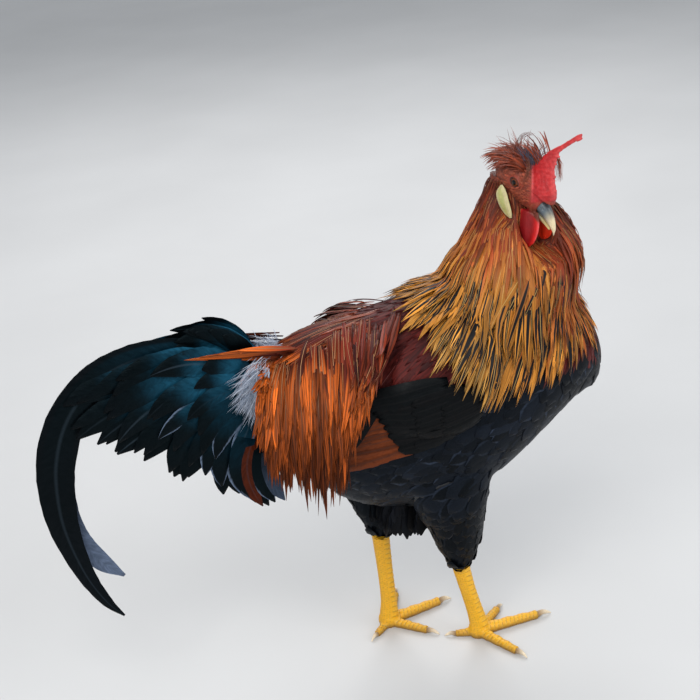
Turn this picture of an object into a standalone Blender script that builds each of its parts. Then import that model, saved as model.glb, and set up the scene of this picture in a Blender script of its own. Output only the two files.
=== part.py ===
"""A leghorn rooster at life size, standing in mid stride with its head turned to its right.

The frame is +X towards the breast, +Y to the bird's left and +Z up. Sizes in the tables are millimetres.
The tables start from a point on the floor between the feet, and every piece is carried by an empty that
stands at SHIFT, so that the origin is the middle of the bottom of the bird's box.
"""

import math
import random

import bpy
import numpy as np
from mathutils import Matrix, Vector
from mathutils.bvhtree import BVHTree

MM = 0.001
GAP = 0.0003
SHIFT = Vector((0.0810, 0.0, 0.0))
LEFT = Vector((0, 1, 0))
UP = Vector((0, 0, 1))
SIDES_OF_BIRD = (("right", -1), ("left", 1))

# Colours and roughness.
MATERIALS = {
    "hackle": ((0.52, 0.24, 0.06), 0.5),
    "saddle": ((0.42, 0.13, 0.03), 0.5),
    "wing": ((0.12, 0.02, 0.02), 0.45),
    "breast": ((0.018, 0.02, 0.028), 0.5),
    "tail": ((0.008, 0.014, 0.016), 0.35),
    "face": ((0.36, 0.10, 0.06), 0.6),
    "red flesh": ((0.72, 0.03, 0.03), 0.45),
    "earlobe": ((0.72, 0.70, 0.38), 0.5),
    "leg": ((0.72, 0.42, 0.03), 0.5),
    "horn": ((0.55, 0.50, 0.38), 0.3),
    "eye": ((0.10, 0.03, 0.01), 0.05),
}

# Body sections from tail to breast: x, middle height, half height, half width.
BODY = [
    (-146, 292, 12, 10),
    (-138, 289, 30, 24),
    (-110, 272, 60, 44),
    (-70, 257, 87, 58),
    (-20, 252, 100, 66),
    (30, 255, 103, 69),
    (80, 267, 91, 66),
    (120, 279, 72, 58),
    (150, 282, 52, 46),
    (170, 272, 35, 30),
    (180, 268, 11, 9),
]
BODY_RINGS = 19
BODY_SIDES = 20
BODY_SQUARENESS = 2.15
# The front of the rump is a slanted plane through these two points of x and z.
RUMP_TOP = (-42, 360)
RUMP_LOW = (-66, 140)

# Core of the neck, from the head down into the body: back x, z, front x, z, half width, middle y.
NECK_CORE = [
    (93, 450, 124, 432, 13, 4),
    (87, 431, 129, 414, 16, 5),
    (80, 410, 135, 395, 21, 5),
    (68, 388, 144, 373, 31, 2),
    (50, 366, 151, 347, 42, 0),
    (46, 342, 152, 324, 46, 0),
    (56, 320, 146, 302, 42, 0),
]
# Tiers of hackles: place down the core, count, lengths at back, side and front, lift of the tips, half width.
HACKLES = [
    (0.09, 7, 50, 46, 42, 11, 5.0),
    (0.20, 9, 56, 64, 56, 14, 5.8),
    (0.33, 10, 60, 86, 66, 15, 6.8),
    (0.46, 11, 64, 106, 74, 12, 7.6),
    (0.59, 12, 68, 116, 76, 7, 8.0),
]
HACKLE_SWEEP = 1.0
HACKLE_PULL = 0.06
# Tiers of saddle hackles: x, degrees from the top of the outermost root, count, length, lift, half width.
SADDLE_TIERS = [
    (-56, 38, 7, 160, 9, 7.8),
    (-78, 42, 7, 148, 8, 7.8),
    (-100, 52, 6, 118, 6, 7.6),
    (-120, 74, 5, 90, 4, 7.2),
]
SADDLE_SPREAD = 1.6
SADDLE_PULL = 0.18
SADDLE_TOP_CUT = 0.4
# Middle of the back under the roots, how far out the search for a root starts, and how deep it is set.
SADDLE_MIDDLE = 262
SADDLE_SEARCH = 0.15
ROOT_DEPTH = 3

# Front of the folded wing seen from the side: x and z round its edge.
WING_EDGE = [
    (62, 304), (52, 274), (30, 256), (2, 252), (-22, 262),
    (-30, 290), (-24, 318), (0, 336), (36, 342), (58, 328),
]
WING_DEPTH = 8
# Rows of wing feathers: root x, low and high root z, count, length, droop in degrees, lift at root and tip,
# half width.
WING_ROWS = [
    (-2, 258, 300, 6, 118, 6, 1.6, 1.8, 8.0),
    (8, 262, 306, 5, 74, 10, 4.2, 4.4, 8.0),
    (4, 290, 326, 4, 62, 14, 6.0, 6.8, 8.0),
]

# Root of the tail behind the rump: x, middle height, half height, half width.
TAIL_CORE = [
    (-128, 290, 36, 24),
    (-146, 291, 34, 20),
    (-160, 292, 26, 15),
    (-172, 294, 14, 9),
]
# Fans of tail feathers, top to bottom: count, root x, root z, length, start and end angles, y, half width.
TAIL_FANS = [
    (2, (-146, -140), (326, 320), (92, 74), (40, 34), (-14, -28), (5, 7), 9),
    (5, (-158, -148), (312, 270), (150, 84), (28, -44), (-18, -62), (4.5, 12.5), 14),
    (5, (-150, -142), (316, 264), (146, 86), (38, -34), (-58, -80), (15, 20), 10),
    (4, (-150, -146), (308, 270), (92, 58), (0, -46), (-72, -76), (22, 26), 9),
]
TAIL_ROOT_OFFSET = 6

# Long sickles: x, z along the shaft, then the half width of the blade.
SICKLE = [
    (-150, 330, 6),
    (-176, 340, 9),
    (-210, 347, 12),
    (-245, 345, 14),
    (-278, 331, 16),
    (-306, 302, 17),
    (-322, 264, 17),
    (-327, 224, 15),
    (-325, 190, 12),
    (-316, 150, 8),
    (-303, 120, 5),
    (-290, 101, 1),
]
SICKLE_THICKNESS = 1.4
SICKLE_ROOT_OFFSET = 2
SICKLE_TIP_OFFSET = 11
SICKLE_STATIONS = 22
SICKLE_LENGTHS = ((0, 8), (8, 15), (15, 21))

# Legs: points x, y, z with half depth and half width.
THIGH_RIGHT = [
    (18, -36, 195, 46, 26),
    (20, -34, 165, 38, 25),
    (24, -30, 135, 29, 21),
    (25, -28, 115, 24, 18),
    (26, -27, 100, 18, 14),
    (25, -26, 88, 11, 9),
]
THIGH_LEFT = [
    (-34, 34, 195, 44, 26),
    (-34, 32, 168, 39, 25),
    (-32, 28, 138, 31, 21),
    (-32, 26, 115, 26, 18),
    (-34, 25, 101, 19, 14),
    (-36, 24, 90, 11, 9),
]
SHANK_RIGHT = [
    (23, -26, 104, 9, 7.5),
    (25, -26, 88, 8.4, 6.4),
    (31, -25.5, 56, 7.4, 5.8),
    (37, -25, 28, 7.8, 6.2),
    (40, -25, 12, 9.2, 8),
]
SHANK_LEFT = [
    (-38, 24, 110, 9, 7.5),
    (-37.5, 24, 92, 8.4, 6.4),
    (-36.5, 24, 60, 7.4, 5.8),
    (-36, 24.5, 30, 7.8, 6.2),
    (-37, 25, 12, 9.2, 8),
]
SHANK_SCUTES = 9
SCUTE_RISE = 0.7
# Toes: node word, heading in degrees from +X, length to the claw, claw length, radius at the root, scutes.
TOES_RIGHT = [
    ("inner", 44, 40, 12, 5.0, 4),
    ("middle", 4, 62, 15, 5.8, 6),
    ("outer", -61, 48, 13, 5.2, 5),
    ("back", 164, 22, 11, 4.4, 2),
]
TOES_LEFT = [
    ("inner", -42, 42, 13, 5.0, 4),
    ("middle", 13, 58, 14, 5.8, 6),
    ("outer", 66, 46, 13, 5.2, 5),
    ("back", -137, 22, 11, 4.4, 2),
]
CLAW_GAP = 0.5
FOOT_RIGHT = (39, -25)
FOOT_LEFT = (-38, 25)
FOOT_PAD = [(-3, 6, 6), (3, 9.5, 9), (9, 9.5, 9), (15, 7, 6.5)]

# Head frame: middle between the eyes, its turn to the bird's right and its pitch down.
HEAD_AT = Vector((114.9, -12.9, 449.0)) * MM
HEAD_YAW = math.radians(-62)
HEAD_PITCH = math.radians(37)
# Head sections along its own axis: forward, middle height, half height, half width.
HEAD = [
    (-27, -4, 6, 6),
    (-23, -3.5, 13, 12),
    (-12, -2.5, 17, 15.5),
    (0, -3, 17, 15),
    (10, -5, 15.5, 12.5),
    (20, -7.5, 12, 9.5),
    (27, -9, 9, 7.4),
]
EYE_AT = (0, 10.8, 0)
EYE_RADIUS = 5.6
LID_AT = 14.9
LID_RADIUS = 4.3
LID_THICKNESS = 1.0
UPPER_BEAK = [
    (24, -7, 6.5, 6.6),
    (31, -8.5, 6.0, 5.6),
    (38, -10.5, 5.2, 4.4),
    (44, -13.2, 4.2, 3.0),
    (49, -17, 2.4, 1.6),
    (51, -21, 0.5, 0.5),
]
LOWER_BEAK = [
    (20, -17, 3.6, 6.2),
    (30, -17.8, 3.0, 4.8),
    (38, -19, 2.4, 3.4),
    (45, -20.6, 1.2, 1.4),
]
NOSTRIL_AT = (31, 5.2, -6)
NOSTRIL_SIZE = (2.2, 1.2, 0.9)
# The line of the mouth runs back from the beak to this place on the cheek: forward and up.
MOUTH_CORNER = (15, -15.8)
MOUTH_FRONT = (33, -14.6)
MOUTH_GAPE = 0.7
# Comb upwards in the head frame: height, middle forward, half length, half thickness, lean to the left.
COMB = [
    (2, 19, 15, 6.5, 0),
    (10, 18, 15, 5.2, 0),
    (18, 14, 12.5, 4.0, 0.5),
    (27, 11.5, 9.5, 3.2, 2),
    (36, 10.5, 6, 2.8, 4.5),
    (48, 11.5, 4.2, 2.4, 8.5),
    (60, 13.5, 3.4, 2.0, 13),
    (66, 14.5, 1.2, 0.9, 15.5),
]
COMB_SERRATION = 1.1
# Earlobe and wattle in the head frame: forward, left, up, half width, half thickness.
EARLOBE = [
    (-16, 14, -9, 1.2, 0.7),
    (-9, 15.5, -14, 5.2, 1.6),
    (0, 15.5, -20, 6.2, 1.9),
    (9, 14.5, -26, 5, 1.6),
    (15, 14, -30, 1.4, 0.8),
]
WATTLE = [
    (22, 4.5, -19, 9, 2.4),
    (27, 5.5, -26, 11, 2.2),
    (33, 6.5, -34, 11, 2.0),
    (39, 7.2, -42, 8, 1.8),
    (42, 7.5, -46, 2.5, 1),
]
WATTLE_FOLD = 1.1
CREST_CORE = [(1, 13, 2, 4), (-3, 14, 4, 8), (-10, 13, 5, 10), (-18, 9, 5, 9), (-23, 4, 2, 4)]
CREST_ROOT_DEPTH = 1.5
# Tufts of the crest: root forward, left, then heading forward, left, up, length, half width.
CREST_FEATHERS = [
    (-3, 5, 0.1, 0.3, 1.0, 24, 3.4),
    (-3, -5, 0.3, -0.5, 0.8, 26, 3.4),
    (-4, 0, -0.5, 0.1, 1.0, 26, 3.8),
    (-7, 6, -0.7, 0.4, 0.8, 27, 3.8),
    (-7, -6, -0.7, -0.5, 0.7, 29, 3.8),
    (-10, 0, -1.0, 0.0, 0.7, 30, 4.0),
    (-12, 7, -1.0, 0.5, 0.4, 30, 4.0),
    (-12, -7, -1.0, -0.5, 0.4, 32, 4.0),
    (-16, 0, -1.0, 0.0, 0.2, 30, 4.0),
    (-17, 5, -1.0, 0.4, 0.0, 28, 3.8),
    (-17, -5, -1.0, -0.4, 0.0, 28, 3.8),
]
VANE_THICKNESS = 0.8
# Places along a vane and its width there as a share of the widest: hackles, tail feathers and wing feathers.
POINTED = [(0, 0.5), (0.36, 1.0), (0.74, 0.8), (1.0, 0.06)]
ROUNDED = [(0, 0.4), (0.28, 0.85), (0.6, 1.0), (0.88, 0.85), (1.0, 0.35)]
BLUNT = [(0, 0.5), (0.4, 0.95), (0.85, 0.95), (1.0, 0.4)]
WALK_STEPS = 16
VANE_CUTS = (1.0, 0.88, 0.75, 0.62, 0.5)


def mm(x, y, z):
    return Vector((x, y, z)) * MM


def head_axes():
    cos_pitch = math.cos(HEAD_PITCH)
    forward = Vector((cos_pitch * math.cos(HEAD_YAW), cos_pitch * math.sin(HEAD_YAW), -math.sin(HEAD_PITCH)))
    left = Vector((-math.sin(HEAD_YAW), math.cos(HEAD_YAW), 0))
    return forward, left, forward.cross(left)


def head_direction(forward, left, up):
    axes = head_axes()
    return axes[0] * forward + axes[1] * left + axes[2] * up


def head_point(forward, left, up):
    return HEAD_AT + head_direction(forward, left, up) * MM


def spline(rows, count):
    """Rows read evenly from a Catmull-Rom curve through the given rows."""
    rows = np.array(rows, float)
    ends = np.vstack([2 * rows[0] - rows[1], rows, 2 * rows[-1] - rows[-2]])
    found = []
    for place in np.linspace(0, len(rows) - 1, count):
        i = min(int(place), len(rows) - 2)
        f = place - i
        a, b, c, d = ends[i : i + 4]
        found.append(
            0.5 * (2 * b + (c - a) * f + (2 * a - 5 * b + 4 * c - d) * f**2 + (3 * b - a - 3 * c + d) * f**3)
        )
    return found


def add_object(name, points, faces):
    mesh = bpy.data.meshes.new(name)
    mesh.from_pydata(points, [], faces)
    mesh.validate()
    obj = bpy.data.objects.new(name, mesh)
    parts.objects.link(obj)
    return obj


def adopt(obj, name):
    """Moves a new primitive into the parts' collection under its own name."""
    obj.name = name
    for collection in list(obj.users_collection):
        collection.objects.unlink(obj)
    parts.objects.link(obj)
    return obj


def volume(obj):
    obj.data.calc_loop_triangles()
    points = obj.data.vertices
    total = 0
    for triangle in obj.data.loop_triangles:
        a, b, c = (points[i].co for i in triangle.vertices)
        total += a.dot(b.cross(c))
    return total


def loft(name, rings):
    """One closed skin over a row of rings of points, with a flat cap at each end."""
    sides = len(rings[0])
    points = [point for ring in rings for point in ring]
    faces = [tuple(range(sides))[::-1]]
    for k in range(len(rings) - 1):
        low = k * sides
        for i in range(sides):
            j = (i + 1) % sides
            faces.append((low + i, low + j, low + sides + j, low + sides + i))
    faces.append(tuple(range(len(points) - sides, len(points))))
    obj = add_object(name, points, faces)
    if volume(obj) < 0:
        obj.data.flip_normals()
    return obj


def section(centre, across, upward, half_across, half_up, sides, power=2.0):
    """A ring of points on a superellipse in the plane of two directions."""
    ring = []
    for i in range(sides):
        angle = 2 * math.pi * i / sides
        s, c = math.sin(angle), math.cos(angle)
        wide = math.copysign(abs(s) ** (2 / power), s) * half_across
        high = math.copysign(abs(c) ** (2 / power), c) * half_up
        ring.append(centre + across * wide + upward * high)
    return ring


def limb(name, rows, count, sides, ahead=Vector((1, 0, 0)), scutes=0):
    """A loft along a path of x, y, z, half depth towards ahead and half width.

    Scutes are overlapping plates on the side that faces ahead: each rises towards its far end.
    """
    rows = spline(rows, 2 * scutes if scutes else count)
    centres = [mm(*row[:3]) for row in rows]
    rings = []
    for k, row in enumerate(rows):
        along = (centres[min(k + 1, len(rows) - 1)] - centres[max(k - 1, 0)]).normalized()
        across = along.cross(ahead).normalized()
        depth = across.cross(along).normalized()
        place = centres[k]
        if scutes and k % 2 == 0 and k:
            place = centres[k] * 0.2 + centres[k - 1] * 0.8
        ring = section(place, across, depth, row[4] * MM, row[3] * MM, sides)
        if scutes and k % 2 == 1:
            for i, point in enumerate(ring):
                facing = max(0.0, (point - place).normalized().dot(depth) + 0.3) / 1.3
                ring[i] = point + (point - place).normalized() * SCUTE_RISE * MM * facing**0.5
        rings.append(ring)
    return loft(name, rings)


def apply_modifiers(obj):
    graph = bpy.context.evaluated_depsgraph_get()
    mesh = bpy.data.meshes.new_from_object(obj.evaluated_get(graph))
    obj.modifiers.clear()
    old = obj.data
    obj.data = mesh
    bpy.data.meshes.remove(old)


def keep_largest(obj):
    """Keeps only the largest closed surface of a mesh."""
    mesh = obj.data
    group = list(range(len(mesh.vertices)))

    def top(i):
        while group[i] != i:
            group[i] = group[group[i]]
            i = group[i]
        return i

    for edge in mesh.edges:
        a, b = (top(i) for i in edge.vertices)
        group[a] = b
    size = {}
    for face in mesh.polygons:
        root = top(face.vertices[0])
        size[root] = size.get(root, 0) + face.area
    largest = max(size, key=size.get)
    kept = [i for i in range(len(mesh.vertices)) if top(i) == largest]
    number = {old: new for new, old in enumerate(kept)}
    points = [mesh.vertices[i].co.copy() for i in kept]
    faces = [[number[i] for i in face.vertices] for face in mesh.polygons if top(face.vertices[0]) == largest]
    new = bpy.data.meshes.new(mesh.name)
    new.from_pydata(points, [], faces)
    obj.data = new
    bpy.data.meshes.remove(mesh)


def combine(obj, others, operation, solver="EXACT"):
    """Applies one Boolean with a collection of other objects, which are then removed."""
    group = bpy.data.collections.new("operands")
    bpy.context.scene.collection.children.link(group)
    for other in others:
        parts.objects.unlink(other)
        group.objects.link(other)
    modifier = obj.modifiers.new(operation, "BOOLEAN")
    modifier.operand_type = "COLLECTION"
    modifier.collection = group
    modifier.operation = operation
    modifier.solver = solver
    apply_modifiers(obj)
    for other in list(group.objects):
        mesh = other.data
        bpy.data.objects.remove(other)
        bpy.data.meshes.remove(mesh)
    bpy.data.collections.remove(group)
    keep_largest(obj)


def clearance(obj, distance=GAP):
    """A copy of an object swollen by the gap that touching pieces keep."""
    copy = obj.copy()
    copy.data = obj.data.copy()
    parts.objects.link(copy)
    swell = copy.modifiers.new("swell", "DISPLACE")
    swell.strength = distance
    swell.mid_level = 0
    apply_modifiers(copy)
    return copy


def clear_of(obj, others, rooms=()):
    """Cuts an object back from others, and from room shapes that already hold the gap."""
    combine(obj, [clearance(other) for other in others] + list(rooms), "DIFFERENCE")


def block(name, low, high):
    bpy.ops.mesh.primitive_cube_add(size=1)
    obj = adopt(bpy.context.object, name)
    size = Vector(high) - Vector(low)
    obj.data.transform(Matrix.Translation((Vector(low) + Vector(high)) / 2) @ Matrix.Diagonal((*size, 1)))
    return obj


def ground_of(objects):
    """A search tree over the triangles of several objects."""
    points = []
    faces = []
    for obj in objects:
        obj.data.calc_loop_triangles()
        low = len(points)
        points += [vertex.co.copy() for vertex in obj.data.vertices]
        faces += [[low + i for i in triangle.vertices] for triangle in obj.data.loop_triangles]
    return BVHTree.FromPolygons(points, faces)


def drape(ground, root, heading, length, lift, pull, settle=0.22):
    """Walks a shaft over the ground: points, and the directions that face away from the ground.

    Lift gives the height over the ground, in millimetres, for a place from 0 at the root to 1 at the tip.
    """
    point = root.copy()
    along = heading.normalized()
    points = []
    outs = []
    for k in range(WALK_STEPS + 1):
        place = k / WALK_STEPS
        nearest, normal, _, distance = ground.find_nearest(point)
        outside = (point - nearest).dot(normal) > 0
        out = (point - nearest).normalized() if outside and distance > 2 * MM else normal
        if outs:
            out = (outs[-1] * 0.5 + out * 0.5).normalized()
        height = distance if outside else -distance
        wanted = lift(place) * MM
        if height < wanted:
            point = point + out * (wanted - height)
        else:
            point = point - out * (height - wanted) * settle
        points.append(point.copy())
        outs.append(out.copy())
        down = -UP
        along = along + (down - out * down.dot(out)) * pull
        along = (along - out * along.dot(out)).normalized()
        point = point + along * length * MM / WALK_STEPS
    return points, outs


def read_walk(walk, place):
    at = place * (len(walk) - 1)
    i = min(int(at), len(walk) - 2)
    return walk[i].lerp(walk[i + 1], at - i)


def vane(name, points, outs, half_width, outline):
    """A thin closed blade along a walked shaft, split into triangles alike on both faces."""
    corners = []
    stations = [read_walk(points, place) for place, _ in outline]
    for k, (place, share) in enumerate(outline):
        along = (stations[min(k + 1, len(outline) - 1)] - stations[max(k - 1, 0)]).normalized()
        out = read_walk(outs, place)
        side = along.cross(out).normalized()
        out = side.cross(along).normalized()
        wide = side * max(half_width * share, 0.35) * MM
        thick = out * VANE_THICKNESS / 2 * MM
        front, back = stations[k] + thick, stations[k] - thick
        corners += [front - wide, front + wide, back + wide, back - wide]
    faces = [(0, 2, 1), (0, 3, 2)]
    for k in range(len(outline) - 1):
        a, b = 4 * k, 4 * k + 4
        faces += [(a, a + 1, b + 1), (a, b + 1, b)]
        faces += [(a + 3, b + 2, a + 2), (a + 3, b + 3, b + 2)]
        faces += [(a + 1, a + 2, b + 2), (a + 1, b + 2, b + 1)]
        faces += [(a, b, b + 3), (a, b + 3, a + 3)]
    end = 4 * len(outline) - 4
    faces += [(end, end + 1, end + 2), (end, end + 2, end + 3)]
    obj = add_object(name, corners, faces)
    if volume(obj) < 0:
        obj.data.flip_normals()
    return obj


def free_vane(points, outs, half_width, outline, obstacles):
    """A list with one blade, shortened until it stays clear of the obstacles, or an empty list."""
    for share in VANE_CUTS:
        last = round(WALK_STEPS * share)
        blade = vane("vane", points[: last + 1], outs[: last + 1], half_width, outline)
        if not ground_of([blade]).overlap(obstacles):
            return [blade]
        bpy.data.objects.remove(blade)
    return []


def body_loft(name, extra=0.0):
    """The whole body from tail root to breast, swollen by extra millimetres."""
    rings = []
    for x, middle, half_high, half_wide in spline(BODY, BODY_RINGS):
        wide = (half_wide + extra) * MM
        high = (half_high + extra) * MM
        rings.append(section(mm(x, 0, middle), LEFT, UP, wide, high, BODY_SIDES, BODY_SQUARENESS))
    return loft(name, rings)


def rump_cutter(name, edge, behind):
    """A large block behind or ahead of the slanted front of the rump."""
    top = mm(RUMP_TOP[0], 0, RUMP_TOP[1])
    low = mm(RUMP_LOW[0], 0, RUMP_LOW[1])
    slope = math.atan2(top.x - low.x, top.z - low.z)
    reach = 0.4
    back, front = (-reach, edge) if behind else (edge, reach)
    obj = block(name, (back, -reach, -reach), (front, reach, reach))
    obj.data.transform(Matrix.Translation((top + low) / 2) @ Matrix.Rotation(slope, 4, "Y"))
    return obj


def make_body():
    torso = body_loft("torso")
    saddle = body_loft("saddle")
    combine(torso, [rump_cutter("behind", GAP / 2, True)], "DIFFERENCE")
    combine(saddle, [rump_cutter("ahead", -GAP / 2, False)], "DIFFERENCE")
    return torso, saddle


def grow_saddle_hackles(saddle, others, chance):
    """Long hackles that hang from the back over the rump and the ends of the wings."""
    tree = ground_of([saddle])
    ground = ground_of([saddle] + others)
    obstacles = ground_of(others)
    vanes = []
    for x, widest, count, length, rise, half_width in SADDLE_TIERS:
        for i in range(count):
            turn = math.radians(widest * (2 * i / (count - 1) - 1) + chance.uniform(-2, 2))
            middle = mm(x, 0, SADDLE_MIDDLE)
            outside = middle + Vector((0, math.sin(turn), math.cos(turn))) * SADDLE_SEARCH
            nearest, normal, _, _ = tree.ray_cast(outside, middle - outside)
            root = nearest - normal * ROOT_DEPTH * MM
            heading = Vector((-1, math.sin(turn) * SADDLE_SPREAD, 0))
            high = rise * (1 - 0.5 * math.cos(turn) ** 4) + 1.3 * (i % 2)

            def lift(place, high=high):
                return -ROOT_DEPTH + (high + ROOT_DEPTH) * min(1, place / 0.45)

            long = length * chance.uniform(0.94, 1.04) * (1 - SADDLE_TOP_CUT * math.cos(turn) ** 4)
            points, outs = drape(ground, root, heading, long, lift, SADDLE_PULL)
            vanes += free_vane(points, outs, half_width, POINTED, obstacles)
    combine(saddle, vanes, "UNION", "MANIFOLD")


def core_ring(row, angle):
    """A point on the neck's core: angle 0 is the front, a right angle is the bird's left."""
    back = mm(row[0], row[5], row[1])
    front = mm(row[2], row[5], row[3])
    point = (back + front) / 2 + (front - back) / 2 * math.cos(angle)
    point.y += row[4] * MM * math.sin(angle)
    return point


def make_neck(torso, head, crest, wings, near, chance):
    """The neck's core, cut back from the pieces near it, under its cape of hackles."""
    sides = 14
    rows = spline(NECK_CORE, 8)
    turns = [2 * math.pi * i / sides for i in range(sides)]
    neck = loft("neck", [[core_ring(row, turn) for turn in turns] for row in rows])
    ground = ground_of([neck, torso] + wings)
    obstacles = ground_of([torso, head, crest] + wings + near)
    clear_of(neck, [], [head_room(), body_loft("room", GAP / MM)])
    core = ground_of([neck])
    touching = [piece for piece in near if core.overlap(ground_of([piece]))]
    combine(neck, [clearance(piece) for piece in touching], "DIFFERENCE", "MANIFOLD")
    vanes = []
    fine = spline(NECK_CORE, 1001)
    for tier, (depth, count, back, side, front, rise, half_width) in enumerate(HACKLES):
        here, below = fine[int(1000 * depth)], fine[int(1000 * depth) + 60]
        for i in range(count):
            turn = 2 * math.pi * (i + 0.5 * (tier % 2)) / count + chance.uniform(-0.06, 0.06)
            surface = core_ring(here, turn)
            centre = (core_ring(here, 0) + core_ring(here, math.pi)) / 2
            root = surface + (centre - surface).normalized() * ROOT_DEPTH * MM
            end = front if math.cos(turn) > 0 else back
            length = (side * math.sin(turn) ** 2 + end * math.cos(turn) ** 2) * chance.uniform(0.92, 1.06)
            high = rise + 1.4 * (i % 2)

            def lift(place, high=high):
                return -ROOT_DEPTH + (high + ROOT_DEPTH) * min(1, place / 0.6) ** 0.8

            heading = (core_ring(below, turn) - surface).normalized()
            heading.x -= HACKLE_SWEEP * depth * math.sin(turn) ** 2
            points, outs = drape(ground, root, heading, length, lift, HACKLE_PULL)
            vanes += free_vane(points, outs, half_width, POINTED, obstacles)
    combine(neck, vanes, "UNION", "MANIFOLD")
    return neck


def head_loft(name, extra=0.0):
    """The head without its lids, mouth and eyes, swollen by extra millimetres."""
    _, left, up = head_axes()
    rings = []
    for f, u, h, w in spline(HEAD, 11):
        rings.append(section(head_point(f, 0, u), left, up, (w + extra) * MM, (h + extra) * MM, 16))
    return loft(name, rings)


def make_head():
    forward, left, up = head_axes()
    head = head_loft("head")
    lids = []
    for _, sign in SIDES_OF_BIRD:
        bpy.ops.mesh.primitive_torus_add(
            major_radius=LID_RADIUS * MM,
            minor_radius=LID_THICKNESS * MM,
            major_segments=12,
            minor_segments=5,
        )
        lid = adopt(bpy.context.object, "lid")
        turn = Matrix((forward, up, left * sign)).transposed().to_4x4()
        almond = Matrix.Diagonal((1.12, 0.92, 1, 1))
        lid.data.transform(Matrix.Translation(head_point(0, sign * LID_AT, 0)) @ turn @ almond)
        if volume(lid) < 0:
            lid.data.flip_normals()
        lids.append(lid)
    combine(head, lids, "UNION")
    mouth = block("mouth", (MOUTH_CORNER[0], -20, -MOUTH_GAPE / 2), (MOUTH_FRONT[0], 20, MOUTH_GAPE / 2))
    rise = (MOUTH_FRONT[1] - MOUTH_CORNER[1]) / (MOUTH_FRONT[0] - MOUTH_CORNER[0])
    turn = Matrix((forward, left, up)).transposed().to_4x4()
    tilt = Matrix.Rotation(-math.atan(rise), 4, "Y")
    lower = Matrix.Translation((0, 0, MOUTH_CORNER[1] - MOUTH_CORNER[0] * rise))
    mouth.data.transform(Matrix.Translation(HEAD_AT) @ turn @ Matrix.Scale(MM, 4) @ lower @ tilt)
    combine(head, [mouth], "DIFFERENCE")
    return head


def make_eyes(head):
    eyes = []
    for side, sign in SIDES_OF_BIRD:
        bpy.ops.mesh.primitive_uv_sphere_add(segments=10, ring_count=6, radius=EYE_RADIUS * MM)
        eye = adopt(bpy.context.object, "eye_" + side)
        eye.data.transform(Matrix.Translation(head_point(EYE_AT[0], sign * EYE_AT[1], EYE_AT[2])))
        eyes.append(eye)
    clear_of(head, eyes)
    return eyes


def head_room():
    """The head swollen by the gap, which the pieces that meet it are cut by."""
    return head_loft("room", GAP / MM)


def make_beak():
    forward, left, up = head_axes()
    halves = []
    for name, rows, count, sides in (("beak_upper", UPPER_BEAK, 9, 12), ("beak_lower", LOWER_BEAK, 6, 10)):
        rings = []
        for f, u, h, w in spline(rows, count):
            rings.append(section(head_point(f, 0, u), left, up, w * MM, h * MM, sides))
        halves.append(loft(name, rings))
    upper, lower = halves
    nostrils = []
    for _, sign in SIDES_OF_BIRD:
        bpy.ops.mesh.primitive_uv_sphere_add(segments=8, ring_count=5, radius=MM)
        nostril = adopt(bpy.context.object, "nostril")
        turn = Matrix((forward, left, up)).transposed().to_4x4()
        place = head_point(NOSTRIL_AT[0], sign * NOSTRIL_AT[1], NOSTRIL_AT[2])
        nostril.data.transform(Matrix.Translation(place) @ turn @ Matrix.Diagonal((*NOSTRIL_SIZE, 1)))
        nostrils.append(nostril)
    combine(upper, nostrils, "DIFFERENCE")
    clear_of(upper, [], [head_room()])
    clear_of(lower, [upper], [head_room()])
    return upper, lower


def make_comb(upper):
    forward, left, _ = head_axes()
    rings = []
    for k, (height, ahead, half_long, half_thick, lean) in enumerate(spline(COMB, 15)):
        bulge = COMB_SERRATION * (1 if k % 2 else -1) * min(1, half_long / 8)
        centre = head_point(ahead + bulge / 2, lean, height)
        rings.append(section(centre, left, forward, half_thick * MM, (half_long + bulge / 2) * MM, 12))
    comb = loft("comb", rings)
    clear_of(comb, [upper], [head_room()])
    return comb


def lobe(name, rows, sign, count, sides, fold=0.0):
    """A flat lobe in the head frame, hung from its first row, with lengthwise folds."""
    left = head_axes()[1]
    first = head_point(rows[0][0], 0, rows[0][2])
    last = head_point(rows[-1][0], 0, rows[-1][2])
    wide = (last - first).normalized().cross(left).normalized()
    rings = []
    for f, l, u, half_width, half_thick in spline(rows, count):
        ring = section(head_point(f, sign * l, u), left, wide, half_thick * MM, half_width * MM, sides)
        for i, point in enumerate(ring):
            across = math.cos(2 * math.pi * i / sides)
            ring[i] = point + left * sign * fold * MM * math.cos(2 * math.pi * across)
        rings.append(ring)
    return loft(name, rings)


def make_earlobes():
    lobes = []
    for side, sign in SIDES_OF_BIRD:
        piece = lobe("earlobe_" + side, EARLOBE, sign, 8, 10)
        clear_of(piece, [], [head_room()])
        lobes.append(piece)
    return lobes


def make_wattles(lower):
    wattles = []
    for side, sign in SIDES_OF_BIRD:
        piece = lobe("wattle_" + side, WATTLE, sign, 7, 12, WATTLE_FOLD)
        clear_of(piece, [lower], [head_room()])
        wattles.append(piece)
    return wattles


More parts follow.
